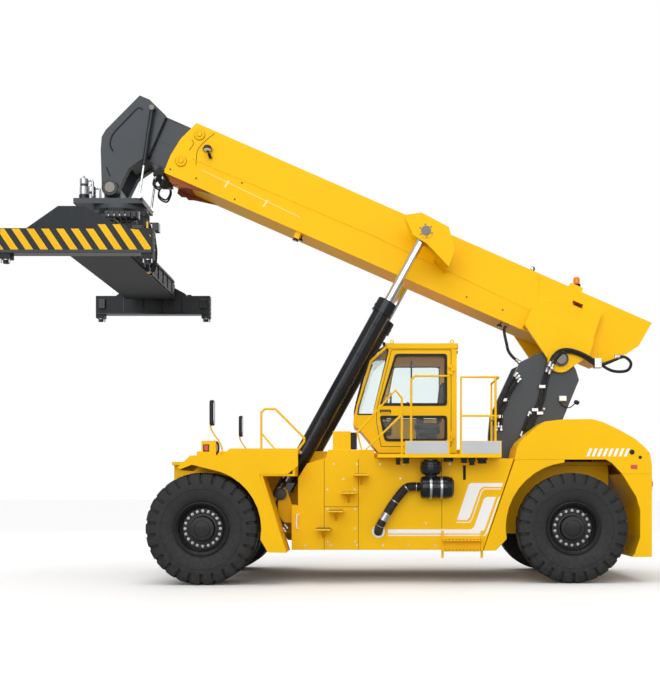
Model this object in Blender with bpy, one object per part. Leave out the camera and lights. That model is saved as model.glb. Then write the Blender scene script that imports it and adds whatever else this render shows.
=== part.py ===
"""Reach stacker: a container handler with a telescopic boom and a twenty to forty foot spreader.

Metres, +Z up, front towards -X, so the machine's left side is -Y. Shapes are drawn with X counted from
the front axle, and SHIFT_X then centres the finished machine on the origin. Each visible object is one
real piece. A moving piece has its origin on its joint's axis.
"""

import math

import bmesh
import bpy
from mathutils import Matrix, Vector

# Clearances
GAP = 0.0003            # between pieces that touch
RUN = 0.006             # between pieces that pass each other
SEAM = 0.006            # open seam between body panels

# Wheels and axles
WHEELBASE = 6.30
TYRE_RADIUS = 0.944
TYRE_WIDTH = 0.48
RIM_RADIUS = 0.425
FLANGE_RADIUS = 0.445
WHEEL_SIDES = 28
DUAL_OUTER_Y = 1.84
DUAL_SPACING = 0.58
STEER_WHEEL_Y = 1.50
KINGPIN_Y = 1.20
KINGPIN_RADIUS = 0.045
FRONT_STUB_RADIUS = 0.25
REAR_STUB_RADIUS = 0.10

# Frame and body
FRAME_HALF = 0.48
FRAME_WALL = 0.14
FRAME_BOTTOM = 0.80
FRAME_TOP = 2.10
DECK_HALF = 0.70
BODY_HALF = 1.50
BODY_BOTTOM = 0.56
DECK_TOP = 2.29
STEP_TOP = 2.14
FENDER_HALF = 2.10
FRONT_ARCH = 1.01
REAR_ARCH = 1.13
HOOD_BOTTOM = 2.12
SHELL_WALL = 0.04

# Cab and platforms
CAB_REAR_X = 4.38
CAB_HALF = 0.80
CAB_WALL = 0.06
CAB_BOTTOM = 2.26
CAB_TOP = 4.21
PLATFORM_HALF = 2.04
PLATFORM_THICK = 0.06
RAIL_RADIUS = 0.02

# Boom, drawn in its own axes: u runs up the boom from the pivot and v stands square on it
BOOM_ANGLE = math.radians(23.7)
PIVOT_X = WHEELBASE - 0.04
PIVOT_Z = 3.95
PIVOT_PIN = 0.10
BOOM_HALF = 0.44
BOOM_LOW = 0.26
BOOM_DEPTH = 1.07
BOOM_WALL = 0.05
BOOM_FRONT = 7.99
BOOM_REAR = -1.29
INNER_CLEARANCE = 0.05
HEAD_U = 8.774
HEAD_V = -0.389
HEAD_PIN = 0.06
TOWER_INNER = 0.46
TOWER_OUTER = 0.62

# Lift cylinders
LIFT_Y = 1.05
LIFT_FOOT = (1.262, 1.523)
LIFT_TOP_U = 3.128
LIFT_TOP_V = 1.026
LIFT_BARREL_RADIUS = 0.155
LIFT_ROD_RADIUS = 0.075
LIFT_BARREL_LENGTH = 3.87
LIFT_ROD_LENGTH = 3.74
LIFT_EYE_RADIUS = 0.15
LIFT_EYE_WIDTH = 0.19
LIFT_PIN = 0.055
FRONT_EDGE_X = 1.58     # front of the side boxes, behind the foot of the lift cylinder

# Tilt dampers between boom head and yoke
DAMPER_Y = 0.51
DAMPER_BARREL = 0.04
DAMPER_ROD = 0.022

# Spreader: corner spacing of a twenty foot container
CORNER_X = 2.259
CORNER_Y = 5.853
SPREADER_X = PIVOT_X - HEAD_U * math.cos(BOOM_ANGLE) + HEAD_V * math.sin(BOOM_ANGLE) + 0.10
BEAM_LENGTH = 2.44
BEAM_WIDTH = 0.20
BEAM_LOW = 5.37
BEAM_TOP = 5.74
FRAME_TUBE_LOW = 5.62
FRAME_TUBE_TOP = 6.02
FRAME_TUBE_END = 2.55
ARM_REACH_BACK = 1.40
LOCK_BOTTOM = 5.20

ALL_X = (SPREADER_X - BEAM_LENGTH / 2, PIVOT_X - BOOM_REAR * math.cos(BOOM_ANGLE)
         + (BOOM_LOW + BOOM_DEPTH) * math.sin(BOOM_ANGLE))
SHIFT_X = -sum(ALL_X) / 2

YELLOW = ((1.0, 0.58, 0.0, 1), 0.35, 0.0)
GREY = ((0.07, 0.08, 0.09, 1), 0.45, 0.0)
BLACK = ((0.012, 0.013, 0.016, 1), 0.4, 0.0)
RUBBER = ((0.03, 0.032, 0.034, 1), 0.85, 0.0)
CHROME = ((0.75, 0.76, 0.78, 1), 0.12, 1.0)
GLASS = ((0.6, 0.7, 0.7, 1), 0.05, 0.0)


# ---------------------------------------------------------------- shapes

def clear_scene():
    for old in list(bpy.data.objects):
        bpy.data.objects.remove(old, do_unlink=True)


def shape(bm):
    """A working object that holds this bmesh."""
    bmesh.ops.recalc_face_normals(bm, faces=bm.faces)
    mesh = bpy.data.meshes.new("work")
    bm.to_mesh(mesh)
    bm.free()
    made = bpy.data.objects.new("work", mesh)
    bpy.context.scene.collection.objects.link(made)
    return made


def slab(outline, low, high, along="Y"):
    """A prism: the outline, in the plane square to one axis, carried from low to high along that axis."""
    place = {
        "X": lambda a, b, c: (c, a, b),
        "Y": lambda a, b, c: (a, c, b),
        "Z": lambda a, b, c: (a, b, c),
    }[along]
    bm = bmesh.new()
    first = [bm.verts.new(place(a, b, low)) for a, b in outline]
    last = [bm.verts.new(place(a, b, high)) for a, b in outline]
    bm.faces.new(first)
    bm.faces.new(last)
    for i in range(len(outline)):
        j = (i + 1) % len(outline)
        bm.faces.new((first[i], first[j], last[j], last[i]))
    return shape(bm)


def box(x, y, z):
    return slab([(x[0], z[0]), (x[1], z[0]), (x[1], z[1]), (x[0], z[1])], *y)


def turned(profile, centre, along="Y", sides=WHEEL_SIDES):
    """A closed profile of (radius, distance) turned about an axis through the centre. Flats face down."""
    bm = bmesh.new()
    rings = []
    for radius, far in profile:
        ring = []
        for i in range(sides if radius > 0 else 1):
            turn = 2 * math.pi * (i + 0.5) / sides
            a, b = radius * math.sin(turn), -radius * math.cos(turn)
            offset = {"Y": (a, far, b), "Z": (a, b, far), "X": (far, a, b)}[along]
            ring.append(bm.verts.new(Vector(centre) + Vector(offset)))
        rings.append(ring)
    for one, two in zip(rings, rings[1:] + rings[:1]):
        for i in range(sides):
            j = (i + 1) % sides
            corners = [one[i % len(one)], one[j % len(one)], two[j % len(two)], two[i % len(two)]]
            corners = list(dict.fromkeys(corners))
            if len(corners) > 2:
                bm.faces.new(corners)
    return shape(bm)


def rod(start, end, radius, sides=16, phase=0):
    """A round bar between two points. Its corners lie on the radius."""
    start, end = Vector(start), Vector(end)
    way = end - start
    turn = way.to_track_quat("Z", "Y").to_matrix().to_4x4() @ Matrix.Rotation(phase, 4, "Z")
    bm = bmesh.new()
    bmesh.ops.create_cone(
        bm, cap_ends=True, segments=sides, radius1=radius, radius2=radius, depth=way.length,
        matrix=Matrix.Translation((start + end) / 2) @ turn,
    )
    return shape(bm)


def bore(start, end, radius, sides=16, clearance=GAP):
    """A cutter whose flats clear the corners of a bar of this radius."""
    return rod(start, end, (radius + clearance) / math.cos(math.pi / sides), sides, math.pi / sides)


def tube(points, radius, resolution=1, closed=False):
    """A round tube along a line of points."""
    curve = bpy.data.curves.new("line", "CURVE")
    curve.dimensions = "3D"
    curve.bevel_depth = radius
    curve.bevel_resolution = resolution
    curve.use_fill_caps = True
    line = curve.splines.new("POLY")
    line.points.add(len(points) - 1)
    for point, place in zip(line.points, points):
        point.co = (*place, 1)
    line.use_cyclic_u = closed
    guide = bpy.data.objects.new("line", curve)
    bpy.context.scene.collection.objects.link(guide)
    mesh = bpy.data.meshes.new_from_object(guide)
    bpy.data.objects.remove(guide, do_unlink=True)
    bm = bmesh.new()
    bm.from_mesh(mesh)
    bmesh.ops.remove_doubles(bm, verts=bm.verts, dist=0.00005)
    return shape(bm)


def arc(centre, radius, start, end, steps):
    """Points on a circle, from one angle to another, in degrees."""
    turns = [math.radians(start + (end - start) * i / steps) for i in range(steps + 1)]
    return [(centre[0] + radius * math.cos(t), centre[1] + radius * math.sin(t)) for t in turns]


def joined(pieces):
    """One working object with the meshes of all pieces, still separate shells."""
    bm = bmesh.new()
    for piece in pieces:
        bm.from_mesh(piece.data)
        bpy.data.objects.remove(piece, do_unlink=True)
    return shape(bm)


def combine(base, others, operation):
    """The base with the others added or cut away, as one closed mesh."""
    helper = joined(others)
    change = base.modifiers.new("combine", "BOOLEAN")
    change.operation = operation
    change.solver = "EXACT"
    change.use_self = len(others) > 1
    change.object = helper
    graph = bpy.context.evaluated_depsgraph_get()
    mesh = bpy.data.meshes.new_from_object(base.evaluated_get(graph))
    base.modifiers.clear()
    base.data = mesh
    bpy.data.objects.remove(helper, do_unlink=True)
    return base


def union(base, *others):
    for other in others:
        combine(base, [other], "UNION")
    return base


def cut(base, *cutters):
    for cutter in cutters:
        combine(base, [cutter], "DIFFERENCE")
    return base


def mirrored(piece):
    """A copy of a working object on the machine's other side."""
    bm = bmesh.new()
    bm.from_mesh(piece.data)
    bmesh.ops.transform(bm, matrix=Matrix.Scale(-1, 4, (0, 1, 0)), verts=bm.verts)
    return shape(bm)


def finish(name, piece, finish_of, origin=(0, 0, 0), smooth=False):
    """Names the piece, gives it its own material and puts its origin on its joint."""
    colour, roughness, metallic = finish_of
    bm = bmesh.new()
    bm.from_mesh(piece.data)
    bmesh.ops.dissolve_limit(bm, angle_limit=math.radians(0.05), verts=bm.verts, edges=bm.edges)
    bmesh.ops.translate(bm, vec=-Vector(origin), verts=bm.verts)
    mesh = bpy.data.meshes.new(name)
    bm.to_mesh(mesh)
    bm.free()
    bpy.data.objects.remove(piece, do_unlink=True)
    made = bpy.data.objects.new(name, mesh)
    made.location = Vector(origin) + Vector((SHIFT_X, 0, 0))
    bpy.context.scene.collection.objects.link(made)
    paint = bpy.data.materials.new(name)
    paint.use_nodes = True
    shader = paint.node_tree.nodes["Principled BSDF"]
    shader.inputs["Base Color"].default_value = colour
    shader.inputs["Roughness"].default_value = roughness
    shader.inputs["Metallic"].default_value = metallic
    mesh.materials.append(paint)
    if smooth:
        mesh.shade_smooth()
        mesh.set_sharp_from_angle(angle=math.radians(35))
    return made


def pair(name, piece, finish_of, origin=(0, 0, 0), smooth=False):
    """The piece as the left one, and its mirror image as the right one."""
    other = mirrored(piece)
    finish(name + "_left", piece, finish_of, origin, smooth)
    finish(name + "_right", other, finish_of, (origin[0], -origin[1], origin[2]), smooth)


def at(u, v):
    """A point of the boom's side view, as (x, z)."""
    c, s = math.cos(BOOM_ANGLE), math.sin(BOOM_ANGLE)
    return (PIVOT_X - u * c + v * s, PIVOT_Z + u * s + v * c)


def boom_slab(outline, low, high):
    return slab([at(u, v) for u, v in outline], low, high)


def boom_box(u, v, y):
    return boom_slab([(u[0], v[0]), (u[1], v[0]), (u[1], v[1]), (u[0], v[1])], *y)


PIVOT = (PIVOT_X, 0, PIVOT_Z)
BOOM_TOP = BOOM_LOW + BOOM_DEPTH
HEAD_X, HEAD_Z = at(HEAD_U, HEAD_V)
LIFT_TOP = at(LIFT_TOP_U, LIFT_TOP_V)


# ---------------------------------------------------------------- wheels

def tyre(y):
    bead, bulge, tread = TYRE_WIDTH * 0.40, TYRE_WIDTH / 2, TYRE_WIDTH * 0.42
    outside = 1 / math.cos(math.pi / WHEEL_SIDES)
    half = [(RIM_RADIUS + GAP, bead), (TYRE_RADIUS * 0.74, bulge),
            (TYRE_RADIUS * 0.95, bulge), (TYRE_RADIUS * outside, tread)]
    profile = [(r, -w) for r, w in half] + [(r, w) for r, w in reversed(half)]
    return turned(profile, (0, y, TYRE_RADIUS))


def rim(outer, inner, hollow_radius, hollow_end, stub_radius, stub_end):
    """A dished wheel: its outer face, its barrel and the hollow that takes the hub. Distances grow outwards."""
    lip = 0.025
    hole = (stub_radius + GAP) / math.cos(math.pi / WHEEL_SIDES)
    profile = [(0, outer - 0.09), (0.20, outer - 0.09), (0.21, outer - 0.16), (0.345, outer - 0.16),
               (0.40, outer - 0.03), (FLANGE_RADIUS, outer), (FLANGE_RADIUS, outer - lip),
               (RIM_RADIUS, outer - lip), (RIM_RADIUS, inner + lip), (FLANGE_RADIUS, inner + lip),
               (FLANGE_RADIUS, inner), (hollow_radius, inner), (hollow_radius, hollow_end),
               (hole, hollow_end), (hole, stub_end), (0, stub_end)]
    return turned([(r, -y) for r, y in profile], (0, 0, TYRE_RADIUS))


def wheels():
    half_rim = TYRE_WIDTH * 0.40 + 0.03
    hub = (0, 0, TYRE_RADIUS)
    inner_y = DUAL_OUTER_Y - DUAL_SPACING
    pair("tyre_front_outer", tyre(-DUAL_OUTER_Y), RUBBER, hub, True)
    pair("tyre_front_inner", tyre(-inner_y), RUBBER, hub, True)
    inside = inner_y - half_rim
    pair("wheel_front", rim(DUAL_OUTER_Y + half_rim, inside, 0.34, inside + 0.20,
                            FRONT_STUB_RADIUS, inside + 0.30), BLACK, hub, True)
    rear = (WHEELBASE, 0, TYRE_RADIUS)
    inside = STEER_WHEEL_Y - half_rim
    for name, piece, colour in (
        ("tyre_rear", tyre(-STEER_WHEEL_Y), RUBBER),
        ("wheel_rear", rim(STEER_WHEEL_Y + half_rim, inside, 0.38, STEER_WHEEL_Y,
                           REAR_STUB_RADIUS, STEER_WHEEL_Y + 0.06), BLACK),
    ):
        piece.data.transform(Matrix.Translation((WHEELBASE, 0, 0)))
        pair(name, piece, colour, rear, True)


def axles():
    inner_end = DUAL_OUTER_Y - DUAL_SPACING - TYRE_WIDTH * 0.40 - 0.03
    stub_end = inner_end + 0.30 - RUN
    z = TYRE_RADIUS
    beam = rod((0, -inner_end + 0.06, z), (0, inner_end - 0.06, z), 0.21, 16)
    bulge = turned([(0.16, -0.42), (0.34, -0.20), (0.37, 0), (0.34, 0.20), (0.16, 0.42)], (0, 0, z), sides=16)
    pads = [box((-0.24, 0.24), (s * 0.41 - 0.07, s * 0.41 + 0.07), (z, FRAME_BOTTOM + 0.38 - GAP))
            for s in (-1, 1)]
    stubs = [rod((0, s * 0.80, z), (0, s * stub_end, z), FRONT_STUB_RADIUS, WHEEL_SIDES) for s in (-1, 1)]
    finish("front_axle", union(beam, bulge, *pads, *stubs), GREY, smooth=True)

    x = WHEELBASE
    end = KINGPIN_Y - 0.28
    beam = box((x - 0.16, x + 0.16), (-end, end), (z - 0.16, z + 0.16))
    neck = box((x - 0.12, x + 0.12), (-KINGPIN_Y, KINGPIN_Y), (z - 0.10, z + 0.10))
    pad = box((x - 0.20, x + 0.20), (-FRAME_HALF, FRAME_HALF), (z, FRAME_BOTTOM + 0.50 - GAP))
    eyes = [rod((x, s * KINGPIN_Y, z - 0.10), (x, s * KINGPIN_Y, z + 0.10), 0.12) for s in (-1, 1)]
    holes = [bore((x, s * KINGPIN_Y, z - 0.2), (x, s * KINGPIN_Y, z + 0.2), KINGPIN_RADIUS) for s in (-1, 1)]
    finish("steer_axle", cut(union(beam, neck, pad, *eyes), *holes), GREY)

    reach = STEER_WHEEL_Y - KINGPIN_Y
    arm = 0.10 + RUN
    plate_in, plate_out = KINGPIN_Y + reach * 0.5, KINGPIN_Y + reach * 0.5 + 0.07
    parts = [box((x - 0.11, x + 0.11), (-plate_out, -KINGPIN_Y), (z + arm, z + arm + 0.09)),
             box((x - 0.11, x + 0.11), (-plate_out, -KINGPIN_Y), (z - arm - 0.09, z - arm)),
             rod((x, -KINGPIN_Y, z + arm), (x, -KINGPIN_Y, z + arm + 0.09), 0.11),
             rod((x, -KINGPIN_Y, z - arm - 0.09), (x, -KINGPIN_Y, z - arm), 0.11),
             rod((x, -KINGPIN_Y, z - arm - 0.05), (x, -KINGPIN_Y, z + arm + 0.05), KINGPIN_RADIUS),
             rod((x, -plate_in, z), (x, -STEER_WHEEL_Y - 0.06 + RUN, z), REAR_STUB_RADIUS, WHEEL_SIDES)]
    plate = box((x - 0.11, x + 0.11), (-plate_out, -plate_in), (z - arm - 0.09, z + arm + 0.09))
    pair("steering_knuckle", union(plate, *parts), GREY, (x, -KINGPIN_Y, z))


# ---------------------------------------------------------------- frame and body

def chassis():
    inner = FRAME_HALF - FRAME_WALL
    front, rear = -0.75, WHEELBASE + 0.87
    tail = WHEELBASE + 1.19 - GAP
    rails = []
    for s in (-1, 1):
        y = sorted((s * inner, s * FRAME_HALF))
        rail = slab([(front, 1.20), (front + 0.45, FRAME_BOTTOM), (tail, FRAME_BOTTOM), (tail, 1.22),
                     (rear, 1.22), (rear, FRAME_TOP - 0.03), (front, FRAME_TOP - 0.03)], *y)
        rails.append(rail)
    top = box((front, rear), (-DECK_HALF, DECK_HALF), (FRAME_TOP - 0.06, FRAME_TOP))
    raised = box((-0.30, CAB_REAR_X - 1.95), (-DECK_HALF, DECK_HALF), (FRAME_TOP - 0.03, DECK_TOP))
    cross = [box((x, x + 0.10), (-FRAME_HALF + 0.02, FRAME_HALF - 0.02), (z, z + 0.12)) for x, z in
             ((WHEELBASE - 0.72, 1.30), (WHEELBASE + 0.40, 1.30), (1.9, 0.90), (3.6, 0.90), (3.6, 1.8))]
    nose = box((front, front + 0.08), (-FRAME_HALF, FRAME_HALF), (1.25, FRAME_TOP - 0.01))
    tray = box((front + 0.05, rear - 0.05), (-FRAME_HALF + 0.02, FRAME_HALF - 0.02), (1.35, 1.38))
    foot_x, foot_z = LIFT_FOOT
    ear_in, ear_out = LIFT_EYE_WIDTH / 2 + RUN, LIFT_EYE_WIDTH / 2 + RUN + 0.06
    bearer_top = foot_z - LIFT_EYE_RADIUS - 0.03
    bearer = box((foot_x - 0.20, foot_x + 0.28), (-LIFT_Y - ear_out, LIFT_Y + ear_out), (1.02, bearer_top))
    parts = [top, raised, nose, tray, bearer, rails[1], *cross]
    for s in (-1, 1):
        for side in (-1, 1):
            y = sorted((s * LIFT_Y + side * ear_in, s * LIFT_Y + side * ear_out))
            parts.append(slab([(foot_x - 0.16, bearer_top - 0.05), (foot_x + 0.20, bearer_top - 0.05),
                               *arc((foot_x, foot_z), 0.13, 0, 180, 6)], *y))
        parts.append(rod((foot_x, s * LIFT_Y - ear_out - 0.02, foot_z),
                         (foot_x, s * LIFT_Y + ear_out + 0.02, foot_z), LIFT_PIN))
        y = sorted((s * 0.52, s * 0.64))
        parts.append(box((CAB_REAR_X - 1.70, CAB_REAR_X + 0.02), y, (FRAME_TOP - 0.01, CAB_BOTTOM - GAP)))
    body = union(rails[0], *parts)
    engine_hole = box((WHEELBASE - 0.80, WHEELBASE + 0.64), (-inner + 0.01, inner - 0.01), (1.42, FRAME_TOP + 0.1))
    axle_gap = box((-0.27, 0.27), (-1, 1), (0, FRAME_BOTTOM + 0.38))
    steer_gap = box((WHEELBASE - 0.24, WHEELBASE + 0.24), (-1, 1), (0, FRAME_BOTTOM + 0.50))
    finish("chassis", cut(body, engine_hole, axle_gap, steer_gap), YELLOW)
    finish("engine_block", box((WHEELBASE - 0.76, WHEELBASE + 0.60), (-inner + 0.02, inner - 0.02),
                               (1.42 + GAP, 2.45)), GREY)


def front_fenders():
    """The dual wheels' cover: a roof plate, an outer skirt with the arch, and the sloping rear flange."""
    arch = arc((0, TYRE_RADIUS), FRONT_ARCH, -10, 70, 8)
    tip = [(-0.33, 1.95), (-0.40, 1.964), (-0.175, 2.173), (0.352, 2.173), (0.485, DECK_TOP)]
    back = [(1.62, DECK_TOP), (1.62, 2.00), (1.45, 1.864), (0.97, 1.864), (1.438, 0.545), (1.12, 0.552)]
    skirt = slab(arch + [(-0.15, 2.02)] + tip + back, -FENDER_HALF, -FENDER_HALF + 0.05)
    roof = slab([(-0.385, 1.955), (-0.17, 2.163), (0.356, 2.163), (0.489, DECK_TOP - 0.01),
                 (1.61, DECK_TOP - 0.01), (1.61, DECK_TOP - 0.07), (0.52, DECK_TOP - 0.07), (0.37, 2.12),
                 (-0.16, 2.12), (-0.36, 1.93)], -FENDER_HALF + 0.02, -DECK_HALF - GAP)
    wall = slab([(1.02, 1.864), (0.97, 1.864), (1.40, 0.552), (1.43, 0.552)],
                -FENDER_HALF + 0.02, -LIFT_Y - 0.26)
    shelf = box((0.96, FRONT_EDGE_X - 0.01), (-FENDER_HALF + 0.02, -LIFT_Y - 0.26), (1.83, 1.864))
    back_wall = box((FRONT_EDGE_X - 0.05, FRONT_EDGE_X - 0.01), (-FENDER_HALF + 0.02, -LIFT_Y - 0.26), (1.84, DECK_TOP - 0.03))
    lamp = box((0.0, 0.24), (-2.04, -1.76), (2.15, 2.42))
    body = union(roof, skirt, wall, shelf, back_wall, lamp)
    slot = box((FRONT_EDGE_X - 0.30, 2.4), (-LIFT_Y - 0.22, -LIFT_Y + 0.22), (1.9, 3))
    body = cut(body, slot)
    other = mirrored(body)
    y = -FENDER_HALF + 0.10
    rail = tube([(1.0, y, DECK_TOP - 0.04), (1.0, y, 2.90), (1.06, y, 2.957), (1.236, y, 2.957),
                 (1.72, y, 2.47), (1.72, y, 2.41), (1.60, y, DECK_TOP - 0.04)], RAIL_RADIUS)
    brace = tube([(1.0, y, 2.555), (1.245, y, DECK_TOP - 0.03)], RAIL_RADIUS * 0.8)
    body = union(body, rail, brace)
    finish("fender_front_left", body, YELLOW)
    finish("fender_front_right", other, YELLOW)


def side_boxes():
    """Tanks and lockers between the wheels, with the steps on the left side."""
    rear_top, rear_bottom = WHEELBASE - 0.98, WHEELBASE - 1.524
    drop = CAB_REAR_X - 1.48
    # The flange of the front fender stands in front of the first edge.
    flange = FRONT_EDGE_X - 0.11
    outline = [(flange, BODY_BOTTOM), (flange, 1.33), (FRONT_EDGE_X, 1.33), (FRONT_EDGE_X, 1.80),
               (1.735, 2.05), (2.06, 2.15), (2.10, DECK_TOP), (drop, DECK_TOP), (drop, STEP_TOP),
               (rear_top - 0.01, STEP_TOP), (rear_bottom, BODY_BOTTOM)]
    body = slab(outline, -BODY_HALF, -DECK_HALF - GAP)
    foot_x = LIFT_FOOT[0]
    behind = foot_x + 0.30
    pocket = box((0, behind + 0.08), (-LIFT_Y - 0.24, 0), (0, 3))
    slot = slab([(1.4, 1.30), (behind, 1.30), (2.42, 2.50), (1.4, 2.50)], -LIFT_Y - 0.24, -LIFT_Y + 0.24)
    body = cut(body, pocket, slot)
    other = mirrored(body)
    steps = []
    for i in range(4):
        x, z = drop - 0.23 - 0.215 * i, 0.94 + 0.308 * (3 - i)
        steps.append(box((x - 0.13, x + 0.13), (-1.98, -BODY_HALF + 0.02), (z - 0.03, z)))
        steps.append(slab([(-BODY_HALF + 0.02, z - 0.2), (-BODY_HALF + 0.02, z - 0.01), (-1.80, z - 0.01)],
                          x - 0.02, x + 0.02, "X"))
    ladder_front, ladder_rear = rear_bottom - 0.70, rear_bottom - 0.02
    for x in (ladder_front, ladder_rear):
        steps.append(box((x - 0.02, x + 0.02), (-BODY_HALF - 0.03, -BODY_HALF + 0.02), (0.42, 0.89)))
    for z in (0.56, 0.74):
        steps.append(box((ladder_front, ladder_rear), (-BODY_HALF - 0.16, -BODY_HALF + 0.01), (z - 0.02, z)))
    steps.append(box((2.18, 2.49), (-BODY_HALF + 0.02, -LIFT_Y - 0.26), (DECK_TOP - 0.01, 2.61)))
    finish("side_box_left", union(body, *steps), YELLOW)
    finish("side_box_right", other, YELLOW)


def rear_fenders():
    rear_top, rear_bottom = WHEELBASE - 0.98 + SEAM, WHEELBASE - 1.524 + SEAM
    centre = (WHEELBASE, TYRE_RADIUS)
    top = HOOD_BOTTOM - GAP
    outline = [(rear_top, top), (rear_bottom, 0.545), (rear_bottom + 0.22, 0.55),
               *arc(centre, REAR_ARCH, 190, 96, 10), (WHEELBASE - 0.11, top)]
    pair("rear_fender", slab(outline, -BODY_HALF, -DECK_HALF - GAP), YELLOW)


def hood():
    w = WHEELBASE
    low = 1.871
    curve = [(w - 0.98, HOOD_BOTTOM), (w - 0.94, 2.32), (w - 0.87, 2.44), (w - 0.66, 2.63), (w - 0.45, 2.778),
             (w - 0.14, 2.815), (w + 0.36, 2.821), (w + 0.55, 2.769), (w + 0.84, 2.631), (w + 1.10, 2.484),
             (w + 1.27, 2.337), (w + 1.36, 2.234), (w + 1.395, 2.027), (w + 1.395, low)]
    outline = curve + [(w + 0.88, low), (w + 0.70, 2.061), (w + 0.60, HOOD_BOTTOM)]
    body = slab(outline, -BODY_HALF, BODY_HALF)
    t = SHELL_WALL
    hollow = [(w - 0.98 + t, low - 0.5), (w - 0.94 + t, 2.31), (w - 0.87 + t, 2.42), (w - 0.64, 2.63 - t),
              (w - 0.44, 2.778 - t), (w - 0.14, 2.815 - t), (w + 0.35, 2.821 - t), (w + 0.54, 2.769 - t),
              (w + 0.82, 2.631 - t), (w + 1.07, 2.484 - t), (w + 1.24, 2.337 - t), (w + 1.32, 2.234 - t),
              (w + 1.395 - t, 2.027), (w + 1.395 - t, low - 0.5)]
    inside = slab(hollow, -BODY_HALF + t, BODY_HALF - t)
    body = cut(body, inside)
    slots = [box((w - 1.4, w + 0.12), sorted((s * (TOWER_INNER - 0.02), s * (TOWER_OUTER + 0.02))), (2, 3))
             for s in (-1, 1)]
    finish("engine_hood", cut(body, *slots), YELLOW)
    outline = [(w + 0.88, low - GAP), (w + 1.12, 1.48), (w + 1.19, 1.25), (w + 1.19, 0.78), (w + 1.10, 0.50),
               (w + 1.05, 0.438), (w + 1.395, 0.438), (w + 1.395, low - GAP)]
    finish("counterweight", slab(outline, -BODY_HALF, BODY_HALF), YELLOW)


def tower():
    x, z = PIVOT_X, PIVOT_Z
    foot = FRAME_TOP + GAP
    outline = [(x - 0.34, z + 0.14), (x - 0.72, z - 0.04), (x - 1.136, z - 0.94), (x - 1.17, z - 1.31),
               (x - 1.17, foot), (x - 0.22, foot), (x + 0.06, z - 1.07), (x + 0.349, z - 0.365),
               (x + 0.294, z - 0.183), *arc((x, z), 0.20, 0, 110, 5)]
    cheeks = [slab(outline, *sorted((s * TOWER_INNER, s * TOWER_OUTER))) for s in (-1, 1)]
    ties = [box((x - 1.13, x - 1.03), (-TOWER_OUTER + 0.02, TOWER_OUTER - 0.02), (2.5, 2.8)),
            box((x - 0.62, x - 0.52), (-TOWER_OUTER + 0.02, TOWER_OUTER - 0.02), (z - 0.45, z - 0.25)),
            rod((x - 0.05, -TOWER_OUTER + 0.02, z - 0.75), (x - 0.05, TOWER_OUTER - 0.02, z - 0.75), 0.09)]
    pin = rod((x, -TOWER_OUTER - 0.16, z), (x, TOWER_OUTER + 0.16, z), PIVOT_PIN, 20)
    finish("boom_tower", union(cheeks[0], cheeks[1], *ties, pin), GREY)


def platforms():
    low = STEP_TOP + GAP
    high = low + PLATFORM_THICK
    front, rear = CAB_REAR_X - 1.43, WHEELBASE - 1.27
    plate = box((front, rear), (-PLATFORM_HALF, -CAB_HALF - 0.06), (low, high))
    y = -PLATFORM_HALF + 0.02
    boards = [box(x, (-PLATFORM_HALF, -PLATFORM_HALF + 0.015), (low, 2.42)) for x in
              ((CAB_REAR_X - 0.97, CAB_REAR_X - 0.23), (CAB_REAR_X - 0.03, rear))]
    plain = union(mirrored(plate), mirrored(boards[0]), mirrored(boards[1]))
    c = CAB_REAR_X
    base = high - 0.03
    door_hoop = tube([(c - 0.865, y, base), (c - 0.865, y, 3.44), (c - 0.80, y, 3.509), (c - 0.23, y, 3.509),
                      (c - 0.23, y, base)], RAIL_RADIUS)
    cage = tube([(c - 0.03, y, base), (c - 0.03, y, 3.49), (rear - 0.10, y, 3.49), (rear - 0.04, y + 0.06, 3.49),
                 (rear - 0.04, -CAB_HALF - 0.10, 3.49), (rear - 0.04, -CAB_HALF - 0.10, base)], RAIL_RADIUS)
    middle = tube([(c - 0.03, y, 2.84), (rear - 0.10, y, 2.84), (rear - 0.04, y + 0.06, 2.84),
                   (rear - 0.04, -CAB_HALF - 0.10, 2.84)], RAIL_RADIUS)
    post = tube([(rear - 0.10, y, base), (rear - 0.10, y, 3.49)], RAIL_RADIUS)
    handrail = tube([(c - 1.02, y, base), (c - 1.02, y, 3.14), (c - 1.13, y, 3.27), (c - 1.77, y, 2.56),
                     (c - 1.68, y, 2.22), (c - 1.02, y, 2.86)], RAIL_RADIUS)
    finish("platform_left", union(plate, *boards, door_hoop, cage, middle, post, handrail), YELLOW)
    finish("platform_right", plain, YELLOW)


def air_intake():
    """Pre-cleaner and filter can under the platform, and the pipe down to the engine's side."""
    y = -BODY_HALF - 0.27
    x0, x1 = WHEELBASE - 2.62, WHEELBASE - 2.05
    can = rod((x0, y, 1.638), (x1, y, 1.638), 0.196, 20)
    cleaner = rod((x0 + 0.18, y, 1.80), (x0 + 0.18, y, STEP_TOP - 0.02), 0.18, 20)
    straps = [box((x, x + 0.05), (y, -BODY_HALF - GAP), (1.60, 1.70)) for x in (x0 + 0.10, x1 - 0.15)]
    finish("air_cleaner", union(can, cleaner, *straps), BLACK, smooth=True)
    y = -BODY_HALF - 0.16
    end = x0 - GAP
    line = [(end, y, 1.65), (end - 0.18, y, 1.65), (end - 0.29, y, 1.58), (end - 0.46, y, 1.36),
            (end - 0.62, y, 1.10), (end - 0.69, y + 0.02, 0.97), (end - 0.71, y + 0.06, 0.90),
            (end - 0.71, y + 0.10, 0.88), (end - 0.71, -BODY_HALF - GAP, 0.88)]
    finish("intake_pipe", tube(line, 0.075, 2), BLACK, smooth=True)


def mirrors():
    y = -1.95
    x = 0.33
    pole = tube([(x, y, 2.163 + GAP), (x, y, 2.30), (x - 0.05, y, 2.42), (x - 0.185, y, 2.64),
                 (x - 0.185, y, 2.92)], 0.014)
    head = box((x - 0.20, x - 0.12), (y - 0.09, y + 0.11), (2.68, 3.11))
    pair("mirror", union(head, pole), BLACK)


# ---------------------------------------------------------------- cab

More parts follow.
